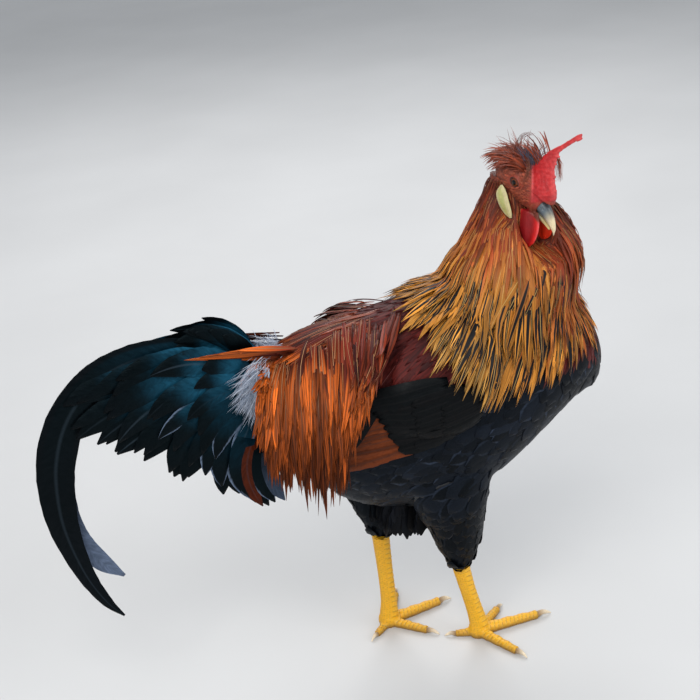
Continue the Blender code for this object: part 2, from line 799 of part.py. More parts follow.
def make_crest(head, comb, chance):
    _, left, up = head_axes()
    rings = []
    for f, u, h, w in spline(CREST_CORE, 6):
        rings.append(section(head_point(f, 0, u), left, up, w * MM, h * MM, 10))
    crest = loft("crest", rings)
    ground = ground_of([crest])
    obstacles = ground_of([head, comb])
    clear_of(crest, [], [head_room()])
    vanes = []
    for f, l, to_f, to_l, to_u, length, half_width in CREST_FEATHERS:
        top, _, _, _ = ground.ray_cast(head_point(f, l, 60), -up)
        heading = head_direction(to_f, to_l, to_u).normalized()
        side = heading.cross(up)
        side = side.normalized() if side.length > 0.4 else left
        points = []
        outs = []
        point = top - up * CREST_ROOT_DEPTH * MM
        for k in range(WALK_STEPS + 1):
            points.append(point.copy())
            outs.append(side.cross(heading).normalized())
            heading = (heading - UP * 0.045 + head_direction(-0.02, 0, 0)).normalized()
            point = point + heading * length * chance.uniform(0.97, 1.03) * MM / WALK_STEPS
        vanes += free_vane(points, outs, half_width, POINTED, obstacles)
    combine(crest, vanes, "UNION", "MANIFOLD")
    return crest


def make_wings(torso, saddle, chance):
    wings = []
    for side, sign in SIDES_OF_BIRD:
        wing = body_loft("wing_" + side, WING_DEPTH)
        inner = Vector((0, sign * 0.02, 0))
        outer = Vector((0, sign * 0.12, 0))
        prism = loft("prism", [[mm(x, 0, z) + edge for x, z in WING_EDGE] for edge in (inner, outer)])
        combine(wing, [prism], "INTERSECT")
        clear_of(wing, [], [body_loft("room", GAP / MM)])
        ground = ground_of([torso, saddle])
        vanes = []
        for x, low, high, count, length, droop, root_lift, tip_lift, half_width in WING_ROWS:
            for i in range(count):
                z = low + (high - low) * i / (count - 1)
                start = mm(x, 0, z) + Vector((0, sign * 0.2, 0))
                nearest, normal, _, _ = ground.ray_cast(start, Vector((0, -sign, 0)))
                slope = math.radians(droop + chance.uniform(-1.5, 1.5))
                heading = Vector((-math.cos(slope), 0, -math.sin(slope)))
                step = 0.25 * i

                def lift(place, root_lift=root_lift, tip_lift=tip_lift, step=step):
                    return root_lift + (tip_lift - root_lift) * place + step

                long = length * (1 - 0.05 * i) * chance.uniform(0.97, 1.03)
                root = nearest + normal * lift(0) * MM
                points, outs = drape(ground, root, heading, long, lift, 0.0, 1.0)
                vanes += free_vane(points, outs, half_width, BLUNT, ground)
        combine(wing, vanes, "UNION", "MANIFOLD")
        wings.append(wing)
    return wings


def make_tail(saddle, chance):
    rings = []
    for x, middle, half_high, half_wide in spline(TAIL_CORE, 6):
        rings.append(section(mm(x, 0, middle), LEFT, UP, half_wide * MM, half_high * MM, 14))
    tail = loft("tail", rings)
    vanes = []
    for count, root_x, root_z, lengths, starts, ends, offsets, half_width in TAIL_FANS:
        for _, sign in SIDES_OF_BIRD:
            for i in range(count):
                share = i / (count - 1)
                x = root_x[0] + (root_x[1] - root_x[0]) * share
                z = root_z[0] + (root_z[1] - root_z[0]) * share
                length = (lengths[0] + (lengths[1] - lengths[0]) * share) * chance.uniform(0.96, 1.04)
                first = starts[0] + (starts[1] - starts[0]) * share
                last = ends[0] + (ends[1] - ends[0]) * share
                y = offsets[0] + (offsets[1] - offsets[0]) * share
                root_y = min(y, TAIL_ROOT_OFFSET)
                point = mm(x, sign * root_y, z)
                points = []
                for k in range(WALK_STEPS + 1):
                    place = k / WALK_STEPS
                    angle = math.radians(first + (last - first) * place)
                    points.append(point.copy())
                    point = point + Vector((-math.cos(angle), 0, math.sin(angle))) * length * MM / WALK_STEPS
                    point.y = sign * (root_y + (y - root_y) * min(1, 4 * place)) * MM
                outs = [LEFT * sign] * len(points)
                vanes.append(vane("vane", points, outs, half_width, ROUNDED))
    combine(tail, vanes, "UNION", "MANIFOLD")
    clear_of(tail, [saddle])
    return tail


def make_sickles(tail):
    lengths = []
    rows = spline(SICKLE, SICKLE_STATIONS)
    for side, sign in SIDES_OF_BIRD:
        centres = []
        for k, (x, z, half) in enumerate(rows):
            place = k / (SICKLE_STATIONS - 1)
            offset = SICKLE_ROOT_OFFSET + (SICKLE_TIP_OFFSET - SICKLE_ROOT_OFFSET) * place**3
            centres.append(mm(x, sign * offset, z))
        for number, (start, end) in enumerate(SICKLE_LENGTHS):
            rings = []
            for k in range(start, end + 1):
                along = (centres[min(k + 1, len(rows) - 1)] - centres[max(k - 1, 0)]).normalized()
                across = (LEFT - along * along.dot(LEFT)).normalized()
                place = centres[k] + along * (GAP if number and k == start else 0)
                half = max(rows[k][2], 0.6) * MM
                rings.append(section(place, across, along.cross(across), SICKLE_THICKNESS / 2 * MM, half, 6))
            piece = loft(f"sickle_{side}_{number + 1}", rings)
            clear_of(piece, [tail])
            lengths.append(piece)
    return lengths


def toe_rows(foot, heading, length, root, stations=9):
    """Path of a toe on the floor, with swollen pads between its joints."""
    ahead = Vector((math.cos(heading), math.sin(heading), 0))
    rows = []
    for k in range(stations):
        s = k / (stations - 1)
        radius = root * (1 - 0.3 * s) * (1 + (0.05 if k % 2 == 0 else -0.04))
        x = foot[0] + ahead.x * length * s
        y = foot[1] + ahead.y * length * s
        rows.append((x, y, radius * 0.84, radius, radius))
    return rows


def make_foot(side, foot, toes):
    pieces = []
    claws = []
    for word, degrees, length, claw, root, scutes in toes:
        heading = math.radians(degrees)
        pieces.append(limb("toe", toe_rows(foot, heading, length, root), 9, 8, UP, scutes))
        ahead = Vector((math.cos(heading), math.sin(heading), 0))
        radius = root * 0.7 * 0.8
        tip = Vector((foot[0], foot[1], 0)) + ahead * (length + CLAW_GAP)
        claw_rows = [
            (tip.x, tip.y, radius + 0.6, radius, radius * 0.8),
            (*(tip + ahead * claw * 0.45).xy, radius + 1.2, radius * 0.75, radius * 0.6),
            (*(tip + ahead * claw * 0.8).xy, radius + 0.2, radius * 0.45, radius * 0.4),
            (*(tip + ahead * claw).xy, 1.4, 0.5, 0.45),
        ]
        claws.append(limb(f"claw_{word}_{side}", claw_rows, 5, 6, UP))
    pad = limb("pad", [(*foot, *row) for row in FOOT_PAD], 5, 12)
    obj = pieces[0]
    obj.name = "foot_" + side
    combine(obj, pieces[1:] + [pad], "UNION")
    combine(obj, [block("floor", (-1, -1, -0.1), (1, 1, 0))], "DIFFERENCE")
    return obj, claws


def make_legs(torso, saddle):
    for side, thigh_rows, shank_rows, foot_at, toes in (
        ("right", THIGH_RIGHT, SHANK_RIGHT, FOOT_RIGHT, TOES_RIGHT),
        ("left", THIGH_LEFT, SHANK_LEFT, FOOT_LEFT, TOES_LEFT),
    ):
        thigh = limb("thigh_" + side, thigh_rows, 9, 14)
        clear_of(thigh, [torso, saddle])
        foot, claws = make_foot(side, foot_at, toes)
        shank = limb("shank_" + side, shank_rows, 10, 10, scutes=SHANK_SCUTES)
        clear_of(shank, [thigh, foot])


def paint():
    """Gives each piece the material of its kind."""
    kinds = {
        "torso": "breast", "thigh": "breast", "saddle": "saddle", "neck": "hackle", "crest": "hackle",
        "wing": "wing", "tail": "tail", "sickle": "tail", "head": "face", "comb": "red flesh",
        "wattle": "red flesh", "earlobe": "earlobe", "beak": "horn", "claw": "horn", "eye": "eye",
        "shank": "leg", "foot": "leg",
    }
    made = {}
    for word, (colour, roughness) in MATERIALS.items():
        material = bpy.data.materials.new(word)
        material.use_nodes = True
        shader = material.node_tree.nodes["Principled BSDF"]
        shader.inputs["Base Color"].default_value = (*colour, 1)
        shader.inputs["Roughness"].default_value = roughness
        made[word] = material
    for obj in parts.objects:
        obj.data.materials.append(made[kinds[obj.name.split("_")[0]]])
        obj.data.shade_smooth()
        obj.data.set_sharp_from_angle(angle=math.radians(40))


def main():
    chance = random.Random(5)
    torso, saddle = make_body()
    head = make_head()
    make_eyes(head)
    upper, lower = make_beak()
    comb = make_comb(upper)
    lobes = make_earlobes()
    wattles = make_wattles(lower)
    make_legs(torso, saddle)
    wings = make_wings(torso, saddle, chance)
    crest = make_crest(head, comb, chance)
    make_neck(torso, head, crest, wings, lobes + wattles + [comb, upper, lower], chance)
    tail = make_tail(saddle, chance)
    sickles = make_sickles(tail)
    grow_saddle_hackles(saddle, [torso, tail] + wings + sickles, chance)
    paint()
    carrier = bpy.data.objects.new("rooster", None)
    carrier.location = SHIFT
    for obj in parts.objects:
        obj.parent = carrier
    parts.objects.link(carrier)


for old in list(bpy.data.objects):
    bpy.data.objects.remove(old)
parts = bpy.data.collections.new("leghorn_rooster")
bpy.context.scene.collection.children.link(parts)
main()
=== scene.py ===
import itertools
import math

import bpy
import numpy as np
from mathutils import Matrix, Vector
from mathutils.bvhtree import BVHTree

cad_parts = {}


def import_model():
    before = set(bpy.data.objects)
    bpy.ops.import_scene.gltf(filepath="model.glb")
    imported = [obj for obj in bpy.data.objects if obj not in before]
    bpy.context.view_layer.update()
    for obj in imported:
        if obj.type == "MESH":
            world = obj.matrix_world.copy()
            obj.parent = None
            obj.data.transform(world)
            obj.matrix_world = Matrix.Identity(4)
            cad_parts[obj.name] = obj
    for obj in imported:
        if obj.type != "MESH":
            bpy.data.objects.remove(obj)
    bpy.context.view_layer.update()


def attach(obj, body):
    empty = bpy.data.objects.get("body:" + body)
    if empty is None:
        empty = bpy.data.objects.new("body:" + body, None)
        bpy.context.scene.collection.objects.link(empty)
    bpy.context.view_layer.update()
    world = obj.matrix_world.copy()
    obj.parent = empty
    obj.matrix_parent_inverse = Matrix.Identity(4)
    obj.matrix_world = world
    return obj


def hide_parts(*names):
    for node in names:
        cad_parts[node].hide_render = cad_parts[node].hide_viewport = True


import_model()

# The looks of a life-size leghorn rooster. Tables are in millimetres, with x towards the breast, y to the
# bird's left and z up, and SHIFT moves them into the frame of the model.
MM = 0.001
SHIFT = np.array([81.0, 0.0, 0.0])
AHEAD = np.array([1.0, 0.0, 0.0])
DOWN = np.array([0.0, 0.0, -1.0])
SIDES_OF_BIRD = (("right", -1), ("left", 1))
FULL_TURN = 2 * math.pi
# Steps of this share of the whole keep any number of places evenly spread.
GOLDEN_STEP = 0.618034
# How far apart two feathers read the noise of their barbs.
SEED_STEP = 61.0

# Camera: place in metres, turns in degrees, and the lens for a square picture.
CAMERA_AT = (-0.2066, -1.1045, 0.8271)
CAMERA_AZIMUTH = -12.0
CAMERA_PITCH = 24.4
CAMERA_ROLL = 6.2
CAMERA_LENS = 72
CAMERA_SENSOR = 36
# Lights: name, place in metres, size, power, colour. They shine at one place over the floor.
LIGHTS = (
    ("key", (-0.9, -1.5, 2.1), 1.6, 42, (1.0, 0.98, 0.95)),
    ("fill", (1.5, -1.2, 1.3), 1.5, 16, (0.94, 0.97, 1.0)),
    ("back", (0.4, 1.7, 1.8), 1.4, 24, (1.0, 1.0, 1.0)),
)
LIT_PLACE = (0.0, 0.0, 0.25)
SKY = (0.86, 0.9, 0.95, 1)
SKY_STRENGTH = 0.55
FLOOR_TONES = (0.60, 0.64)
FLOOR_SIZE = 24

# Body: x, middle height, half height, half width.
BODY = [
    (-146, 292, 12, 10), (-138, 289, 30, 24), (-110, 272, 60, 44), (-70, 257, 87, 58),
    (-20, 252, 100, 66), (30, 255, 103, 69), (80, 267, 91, 66), (120, 279, 72, 58),
    (150, 282, 52, 46), (170, 272, 35, 30), (180, 268, 11, 9),
]
BODY_POWER = 2.15
SKIN_DEPTH = 3.0
SKIN_VOXEL = 2.6
SKIN_ROUNDS = 3
# Neck: back x and z, front x and z, half width, middle y.
NECK = [
    (92, 450, 133, 436, 16, 8), (86, 431, 143, 418, 21, 9), (79, 410, 150, 398, 27, 8),
    (67, 388, 156, 375, 35, 3), (50, 366, 149, 347, 43, 0), (46, 342, 145, 324, 46, 0),
    (56, 320, 138, 302, 42, 0),
]
# Hackles: depth down the neck, lengths at the back, side and front, height of the coat, half width.
HACKLES = [
    (0.00, 28, 26, 24, 3.0, 1.2), (0.09, 44, 44, 38, 6.0, 1.6), (0.20, 52, 64, 50, 9.0, 2.2),
    (0.33, 60, 90, 60, 11.0, 2.9), (0.46, 66, 108, 64, 11.0, 3.5), (0.60, 70, 116, 64, 9.0, 4.0),
    (0.74, 68, 98, 56, 6.0, 4.0),
]
# Wing: x, its lowest and highest place there, and how far its flesh stands off the body.
WING_ROWS = [
    (-30, 263, 316), (-22, 258, 326), (0, 253, 337), (30, 256, 343), (52, 274, 335), (62, 300, 322),
]
WING_DEPTH = 8.0
# Its large feathers: count, root x and its lean, low z, high z, length and its growth upwards, droop,
# lifts at root and tip, half width, kind.
WING_FEATHERS = [
    (12, -2, 0.1, 243, 282, 92, 0.0, 12, (1.4, 1.9), 8.5, "bay"),
    (6, -38, -2.2, 296, 306, 78, 0.0, 52, (4.6, 5.2), 7.0, "bar"),
    (10, 8, 0.1, 247, 302, 43, 0.093, 6, (3.4, 4.0), 9.0, "bar"),
    (8, 24, 0.1, 252, 294, 44, 0.02, 10, (3.8, 4.4), 8.5, "bar"),
    (6, 40, 0.1, 262, 290, 40, 0.0, 14, (4.2, 4.8), 8.0, "bar"),
    (1, 33, 0.0, 253, 253, 42, 0.0, 17, (2.6, 3.2), 1.3, "rim"),
]
# Flesh of the tail: x, middle height, half height, half width.
TAIL_CORE = [(-128, 290, 33, 21), (-146, 291, 31, 17), (-160, 292, 23, 12), (-172, 294, 10, 5)]
# Thighs and shanks: x, y, z, half depth, half width.
THIGHS = {
    "right": [
        (18, -36, 195, 43, 23), (20, -34, 165, 35, 22), (24, -30, 135, 26, 18), (25, -28, 115, 21, 15),
        (26, -27, 100, 15, 11), (25, -26, 86, 9, 7),
    ],
    "left": [
        (-34, 34, 195, 41, 23), (-34, 32, 172, 37, 22), (-32, 28, 150, 31, 18), (-32, 26, 131, 25, 15),
        (-34, 25, 118, 17, 11), (-36, 24, 106, 9, 7),
    ],
}
SHANKS = {
    "right": [
        (23, -26, 104, 9, 7.5), (25, -26, 88, 8.4, 6.4), (31, -25.5, 56, 7.4, 5.8), (37, -25, 28, 7.8, 6.2),
        (40, -25, 12, 9.2, 8),
    ],
    "left": [
        (-38, 24, 128, 9, 7.5), (-37.5, 24, 104, 8.4, 6.4), (-36.5, 24, 60, 7.4, 5.8),
        (-36, 24.5, 30, 7.8, 6.2), (-37, 25, 12, 9.2, 8),
    ],
}
FEET = {"right": (39, -25), "left": (-38, 25)}
# The pad under the foot: height, half depth, half width.
FOOT_PAD = [(-3, 6, 6), (3, 9.5, 9), (9, 9.5, 9), (15, 7, 6.5)]
# Toes: direction in degrees, length, claw, root radius.
TOES = {
    "right": {
        "inner": (44, 40, 12, 5.0), "middle": (4, 62, 15, 5.8), "outer": (-61, 48, 13, 5.2),
        "back": (164, 22, 11, 4.4),
    },
    "left": {
        "inner": (-42, 42, 13, 5.0), "middle": (13, 58, 14, 5.8), "outer": (66, 46, 13, 5.2),
        "back": (-137, 22, 11, 4.4),
    },
}
LEG_VOXEL = 0.85
LEG_ROUNDS = 2
# Lengths of the scales down the shank and along the toes, and how far all stays over the floor.
SHANK_SCUTE = 5.6
TOE_SCUTE = 4.2
FLOOR_GAP = 0.02

# Head: its place and turns, then rings as forward, middle up, half high, half wide.
HEAD_AT = np.array([114.9, -12.9, 449.0])
HEAD_YAW = math.radians(-62)
HEAD_PITCH = math.radians(37)
HEAD = [
    (-27, -4, 6, 6), (-23, -3.5, 13, 12), (-12, -2.5, 17, 15.5), (0, -3, 17, 15), (10, -5, 15.5, 12.5),
    (20, -7.5, 12, 9.5), (27, -9, 9, 7.4),
]
HEAD_VOXEL = 0.62
# Below this height no point of the skin takes its colour from the head.
HEAD_LOW = 380
EYE_SIDE = 10.8
EYE_RADIUS = 5.6
EYE_GAP = 0.12
# Degrees from the eye's pole over which the pupil and the iris end.
PUPIL_EDGE = (22, 25)
IRIS_EDGE = (42, 50)
# Rims of the lids: radius, half thickness, distance from the head's middle.
LID_SIDE = 14.6
LIDS = ((4.6, 1.0, LID_SIDE), (6.9, 0.6, LID_SIDE - 1.0))
LID_SHAPE = (1.14, 0.84)
UPPER_BEAK = [
    (24, -7, 6.5, 6.6), (31, -8.5, 6, 5.6), (38, -10.5, 5.2, 4.4), (44, -13.2, 4.2, 3), (49, -17, 2.4, 1.6),
    (51, -21, 0.5, 0.5),
]
LOWER_BEAK = [(20, -16, 2.8, 5.4), (30, -16.4, 2.4, 4.4), (38, -17.4, 1.9, 3.1), (45, -19.4, 1.0, 1.3)]
NOSTRIL_AT = (31, 5.2, -6)
NOSTRIL_SIZE = (2.2, 1.2, 0.9)
MOUTH_CORNER = (15, -15.8)
MOUTH_FRONT = (27, -15.2)
# Comb: height, middle forward, half length, half thickness, lean to the left.
COMB = [
    (2, 19, 16, 9, 0), (10, 17.5, 15, 6.8, 0), (18, 12.7, 12.3, 4.6, 0.5), (26, 9.7, 8.1, 3.4, 1.6),
    (33, 8.4, 5.6, 2.8, 3.4), (37, 8.2, 4.1, 2.5, 4.7), (41, 8.4, 2.7, 2.3, 6.2), (47, 10.5, 2.2, 2.2, 8.3),
    (53, 12.4, 2.1, 2, 10.1), (58, 14, 2, 1.9, 11.7), (62, 15.2, 1.8, 1.5, 13), (64.5, 15.8, 0.9, 0.8, 13.8),
]
COMB_SPIKES = [
    [(15.2, 12, 58, 1.9), (17, 12.8, 60.5, 1.5), (18.6, 13.4, 62.3, 0.7)],
    [(11, 4, 36, 2.0), (12.8, 4.4, 37.5, 1.5), (14.2, 4.7, 38.6, 0.8)],
    [(12.6, 2.4, 30, 2.2), (14.8, 2.6, 31.5, 1.6), (16, 2.8, 32.4, 0.8)],
    [(18, 1, 21, 2.6), (20.8, 1, 22.4, 2.0), (22.6, 1, 23.4, 1.0)],
    [(26, 0, 12, 2.8), (29, 0, 13.4, 2.2), (31, 0, 14.4, 1.2)],
]
# Lobes: forward, left, up, half width, half thickness.
EARLOBE = [
    (-9, 15.5, -12.5, 1.4, 0.8), (-5.5, 16, -18, 6, 1.8), (2, 16.5, -23.5, 6.4, 2.1),
    (9.5, 15.5, -28.5, 4.8, 1.7), (15, 14.5, -31.5, 1.4, 0.9),
]
WATTLE = [
    (21.5, 4.5, -17.5, 11, 2.4), (26.5, 5.5, -25, 13.5, 2.4), (32, 6.5, -32.5, 12.5, 2.2),
    (37.5, 7.2, -39.5, 8.2, 1.7), (40.5, 7.5, -43.5, 2.2, 0.8),
]
WATTLE_SPLAY = {1: 1.6, -1: 1.35}
# In the head's frame, the ways a wattle hangs and the throat lies behind it.
WATTLE_DOWN = np.array([0.6, 0.0, -0.8])
THROAT_WAY = np.array([-0.8, 0.0, -0.6])

# Sickles: x, z, half width. The right one is the longer one.
SICKLE_STATIONS = 70
SICKLES = {
    "right": [
        (-150, 330, 6), (-176, 340, 9), (-210, 347, 12), (-245, 345, 14), (-278, 331, 16), (-306, 302, 17),
        (-322, 264, 17), (-327, 224, 15), (-325, 190, 12), (-316, 150, 8), (-303, 120, 5), (-290, 103, 1),
    ],
    "left": [
        (-150, 330, 6), (-176, 340, 9), (-210, 347, 12), (-245, 345, 14), (-278, 331, 16), (-305, 302, 16),
        (-320, 264, 14), (-323, 230, 12), (-320, 200, 10), (-312, 174, 9), (-300, 151, 8.5), (-283, 131, 1.5),
    ],
}
# Hem of the saddle from front to rear: root x on the back, then x, distance out and z of the tips.
SADDLE_HEM = [
    (-36, -71, 80, 290), (-50, -84, 81, 250), (-64, -92, 81, 222), (-80, -104, 79, 213),
    (-96, -124, 73, 221), (-108, -141, 64, 231), (-118, -148, 52, 262), (-126, -140, 38, 316),
]
# Tail fans: count each side, first and last root, tips from top to bottom, distances out, half width.
TAIL_FANS = [
    (7, (-134, 330), (-140, 322), [(-214, 357), (-190, 366), (-164, 358)], (4, 9), 7),
    (
        11, (-156, 320), (-148, 272),
        [(-296, 322), (-304, 298), (-288, 280), (-262, 260), (-232, 240), (-204, 224)], (5, 11), 13,
    ),
    (
        12, (-152, 320), (-142, 266),
        [(-258, 338), (-272, 302), (-262, 274), (-238, 250), (-206, 226), (-170, 206)], (9, 16), 12,
    ),
    (
        12, (-148, 316), (-140, 268),
        [(-222, 338), (-238, 300), (-226, 268), (-200, 238), (-170, 206), (-148, 190)], (14, 21), 10,
    ),
    (
        13, (-144, 316), (-134, 270),
        [(-186, 332), (-206, 296), (-196, 262), (-172, 222), (-150, 190), (-130, 192)], (19, 26), 9,
    ),
]
TAIL_BENDS = (0.18, 0.2, 0.26, 0.3, 0.3)
# The first fan whose low feathers may have grey edges, and the outermost fan.
GREY_FAN = 3
LAST_FAN = 4

# Widths along a feather as shares of the widest: place, share.
POINTED = [(0, 0.45), (0.3, 0.9), (0.5, 1.0), (0.75, 0.72), (0.9, 0.36), (1.0, 0.04)]
ROUNDED = [(0, 0.35), (0.25, 0.8), (0.6, 1.0), (0.85, 0.86), (0.95, 0.55), (1.0, 0.12)]
TAPERED = [(0, 0.35), (0.25, 0.85), (0.5, 1.0), (0.75, 0.85), (0.9, 0.5), (1.0, 0.06)]
CONTOUR = [(0, 0.3), (0.3, 0.8), (0.6, 1.0), (0.82, 0.92), (0.94, 0.6), (1.0, 0.15)]
STRAND = [(0, 0.6), (0.4, 1.0), (0.8, 0.6), (1.0, 0.05)]
# Sizes on the unwrap: of a small feather, and of a sickle, which is unrolled along its length.
PATCH = 0.003
SICKLE_PATCH = (0.12, 0.96)


def srgb(red, green, blue):
    """A colour as seen, from 0 to 255, in the linear numbers that shaders take."""
    seen = np.array([red, green, blue]) / 255
    return np.where(seen <= 0.04045, seen / 12.92, ((seen + 0.055) / 1.055) ** 2.4)


NAPE = srgb(104, 42, 24)
RUSSET = srgb(150, 60, 26)
ORANGE = srgb(168, 94, 38)
GOLD = srgb(196, 130, 47)
STRAW = srgb(204, 154, 78)
MAROON = srgb(88, 26, 22)
MAROON_DARK = srgb(58, 18, 18)
BROWN = srgb(112, 54, 28)
SADDLE_ORANGE = srgb(206, 98, 32)
SADDLE_DEEP = srgb(112, 46, 20)
BAY = srgb(108, 50, 22)
COAL = srgb(18, 19, 23)
SLATE = srgb(60, 70, 88)
SLATE_DARK = srgb(28, 33, 43)
GREEN_BLACK = srgb(8, 16, 20)
# Painted sheen: the teal that stands for the gloss on the tail's black feathers.
TEAL_SHEEN = srgb(22, 70, 92)
DOWN_WHITE = srgb(214, 222, 236)
DOWN_GREY = srgb(108, 124, 148)
SHAFT_PALE = srgb(214, 160, 120)
FLESH = srgb(150, 52, 36)
FACE = srgb(150, 64, 42)
RED = srgb(214, 26, 24)
RED_DEEP = srgb(140, 12, 18)
COMB_RED = srgb(192, 30, 34)
PINK = srgb(240, 110, 110)
CREAM = srgb(206, 196, 146)
CREAM_GREEN = srgb(178, 180, 106)
LEG_YELLOW = srgb(236, 174, 20)
# The legs' painted highlight on raised scales, and their painted shade in grooves and near the floor.
LEG_HIGHLIGHT = srgb(244, 208, 84)
LEG_SHADE = srgb(108, 78, 44)
HORN_CREAM = srgb(226, 208, 168)
HORN_BLUE = srgb(84, 96, 104)
FACE_SPACING = 1.35
# Loose strands of the crest: places in the head's frame, count, half width, spread, colour.
STRANDS = [
    ([(-2, 7, 14), (3, 9, 27), (11, 12, 29), (22, 14, 13)], 34, 0.35, 1.4, RUSSET),
    ([(-9, -4, 15), (-2, -8, 19), (4, -12, 14), (6, -15, 7)], 16, 0.2, 1.3, BROWN),
    ([(-20, -2, 12), (-22, -3, 24), (-20, -3, 34), (-14, -4, 41)], 10, 0.22, 1.6, NAPE),
]


# Layers of the hackles: name, depths on the neck, count, share of the width, how much colours vary.
HACKLE_LAYERS = (
    ("hackles_lower", 0.34, 0.74, 1100, 1.0, 0.34),
    ("hackles_middle", 0.14, 0.48, 1500, 0.9, 0.3),
    ("hackles_upper", 0.0, 0.26, 2800, 0.78, 0.2),
)
# Their colours at distances down the neck.
HACKLE_COLOURS = (
    (0, NAPE * 0.6), (35, NAPE), (60, RUSSET), (85, ORANGE), (115, ORANGE * 0.3 + GOLD * 0.7),
    (155, GOLD * 0.9), (215, STRAW * 0.8),
)


def unit(vectors):
    return vectors / np.maximum(np.linalg.norm(vectors, axis=-1, keepdims=True), 1e-9)


def smooth(low, high, value):
    """From 0 at low to 1 at high, with soft ends."""
    share = np.clip((value - low) / (high - low), 0, 1)
    return share * share * (3 - 2 * share)


def blend(first, second, share):
    share = np.asarray(share)[..., None]
    return first * (1 - share) + second * share


def rows_of(*columns):
    """Rows, such as points or directions, from their columns, which are arrays or single numbers."""
    return np.stack(np.broadcast_arrays(*columns), -1)


def even(count):
    return np.linspace(0, 1, count)


def turns(count):
    return np.linspace(0, FULL_TURN, count, endpoint=False)


def even_shares(count):
    """Shares from 0 to 1 that are evenly spread, with neighbours far apart in the list."""
    return (np.arange(count) * GOLDEN_STEP) % 1


def ramp(stops, places):
    """Colours read from stops of (place, colour)."""
    at = [stop[0] for stop in stops]
    return np.stack([np.interp(places, at, [stop[1][i] for stop in stops]) for i in range(3)], -1)


def shares(outline, places):
    """The second numbers of an outline's points, read at places between their first."""
    return np.interp(places, [point[0] for point in outline], [point[1] for point in outline])


def curve(rows, places):
    """Rows of a table read as one smooth curve, at places from 0 to 1."""
    rows = np.asarray(rows, float)
    padded = np.vstack([2 * rows[0] - rows[1], rows, 2 * rows[-1] - rows[-2]])
    at = np.clip(np.asarray(places, float), 0, 1) * (len(rows) - 1)
    first = np.minimum(at.astype(int), len(rows) - 2)
    t = (at - first)[..., None]
    a, b, c, d = (padded[first + i] for i in range(4))
    return 0.5 * (2 * b + (c - a) * t + (2 * a - 5 * b + 4 * c - d) * t**2 + (3 * b - a - 3 * c + d) * t**3)


def head_axes():
    forward = np.array([
        math.cos(HEAD_PITCH) * math.cos(HEAD_YAW),
        math.cos(HEAD_PITCH) * math.sin(HEAD_YAW),
        -math.sin(HEAD_PITCH),
    ])
    left = np.array([-math.sin(HEAD_YAW), math.cos(HEAD_YAW), 0])
    return np.stack([forward, left, np.cross(forward, left)])


HEAD_AXES = head_axes()


def on_head(points):
    """Points given as forward, left, up of the head."""
    return HEAD_AT + np.asarray(points, float) @ HEAD_AXES


def of_head(points):
    """Points of the bird as forward, left, up of the head."""
    return (np.asarray(points) - HEAD_AT) @ HEAD_AXES.T


# Meshes


def world(points):
    return (np.asarray(points, float) + SHIFT) * MM


def add_object(name, mesh):
    obj = bpy.data.objects.new(name, mesh)
    bpy.context.scene.collection.objects.link(obj)
    return obj


def add_mesh(name, points, faces):
    mesh = bpy.data.meshes.new(name)
    mesh.from_pydata(world(points).tolist(), [], faces)
    mesh.shade_smooth()
    return add_object(name, mesh)


def rings(centres, across, upward, half_across, half_up, sides, power=2.0):
    """Rings on superellipses: centres (n, 3), directions (n, 3) or (3,), halves (n,)."""
    turn = turns(sides)
    wide = np.sign(np.sin(turn)) * np.abs(np.sin(turn)) ** (2 / power)
    high = np.sign(np.cos(turn)) * np.abs(np.cos(turn)) ** (2 / power)
    across = np.broadcast_to(across, centres.shape)
    upward = np.broadcast_to(upward, centres.shape)
    return (
        centres[:, None]
        + across[:, None] * (wide * np.asarray(half_across)[:, None])[..., None]
        + upward[:, None] * (high * np.asarray(half_up)[:, None])[..., None]
    )


def skin_over(all_rings):
    """Points and faces of one closed skin over rings, with a flat cap at each end."""
    count, sides = all_rings.shape[:2]
    points = all_rings.reshape(-1, 3)
    faces = [tuple(range(sides))[::-1]]
    for k in range(count - 1):
        low = k * sides
        for i in range(sides):
            j = (i + 1) % sides
            faces.append((low + i, low + j, low + sides + j, low + sides + i))
    faces.append(tuple(range(len(points) - sides, len(points))))
    middle = points.mean(0)
    size = 0.0
    for face in faces:
        corners = points[list(face)] - middle
        for i in range(1, len(face) - 1):
            size += np.dot(corners[0], np.cross(corners[i], corners[i + 1]))
    if size < 0:
        faces = [face[::-1] for face in faces]
    return points, faces


def limb_rings(rows, places, sides, ahead):
    """Rings along a path of x, y, z, half depth towards ahead and half width."""
    read = curve(rows, places)
    centres = read[:, :3]
    along = unit(np.gradient(centres, axis=0))
    across = unit(np.cross(along, ahead))
    depth = unit(np.cross(across, along))
    return rings(centres, across, depth, read[:, 4], read[:, 3], sides)


def join_shells(name, shells):
    """One mesh of several closed shells, each as points and faces."""
    points = []
    faces = []
    start = 0
    for shell_points, shell_faces in shells:
        points.append(shell_points)
        faces += [tuple(i + start for i in face) for face in shell_faces]
        start += len(shell_points)
    return add_mesh(name, np.vstack(points), faces)


def settle(obj):
    """Puts what the object's modifiers make in the place of its mesh."""
    depsgraph = bpy.context.evaluated_depsgraph_get()
    mesh = bpy.data.meshes.new_from_object(obj.evaluated_get(depsgraph))
    old = obj.data
    obj.modifiers.clear()
    obj.data = mesh
    mesh.name = old.name
    mesh.shade_smooth()
    bpy.data.meshes.remove(old)


def knead(obj, voxel, rounds):
    """Melts the shells of a mesh into one even skin and smooths it."""
    remesh = obj.modifiers.new("melt", "REMESH")
    remesh.mode = "VOXEL"
    remesh.voxel_size = voxel * MM
    soften = obj.modifiers.new("soften", "SMOOTH")
    soften.factor = 0.5
    soften.iterations = rounds
    settle(obj)
    return obj


def cut(obj, cutter, operation="DIFFERENCE"):
    modifier = obj.modifiers.new("cut", "BOOLEAN")
    modifier.operation = operation
    modifier.object = cutter
    modifier.solver = "MANIFOLD"
    settle(obj)
    bpy.data.objects.remove(cutter)


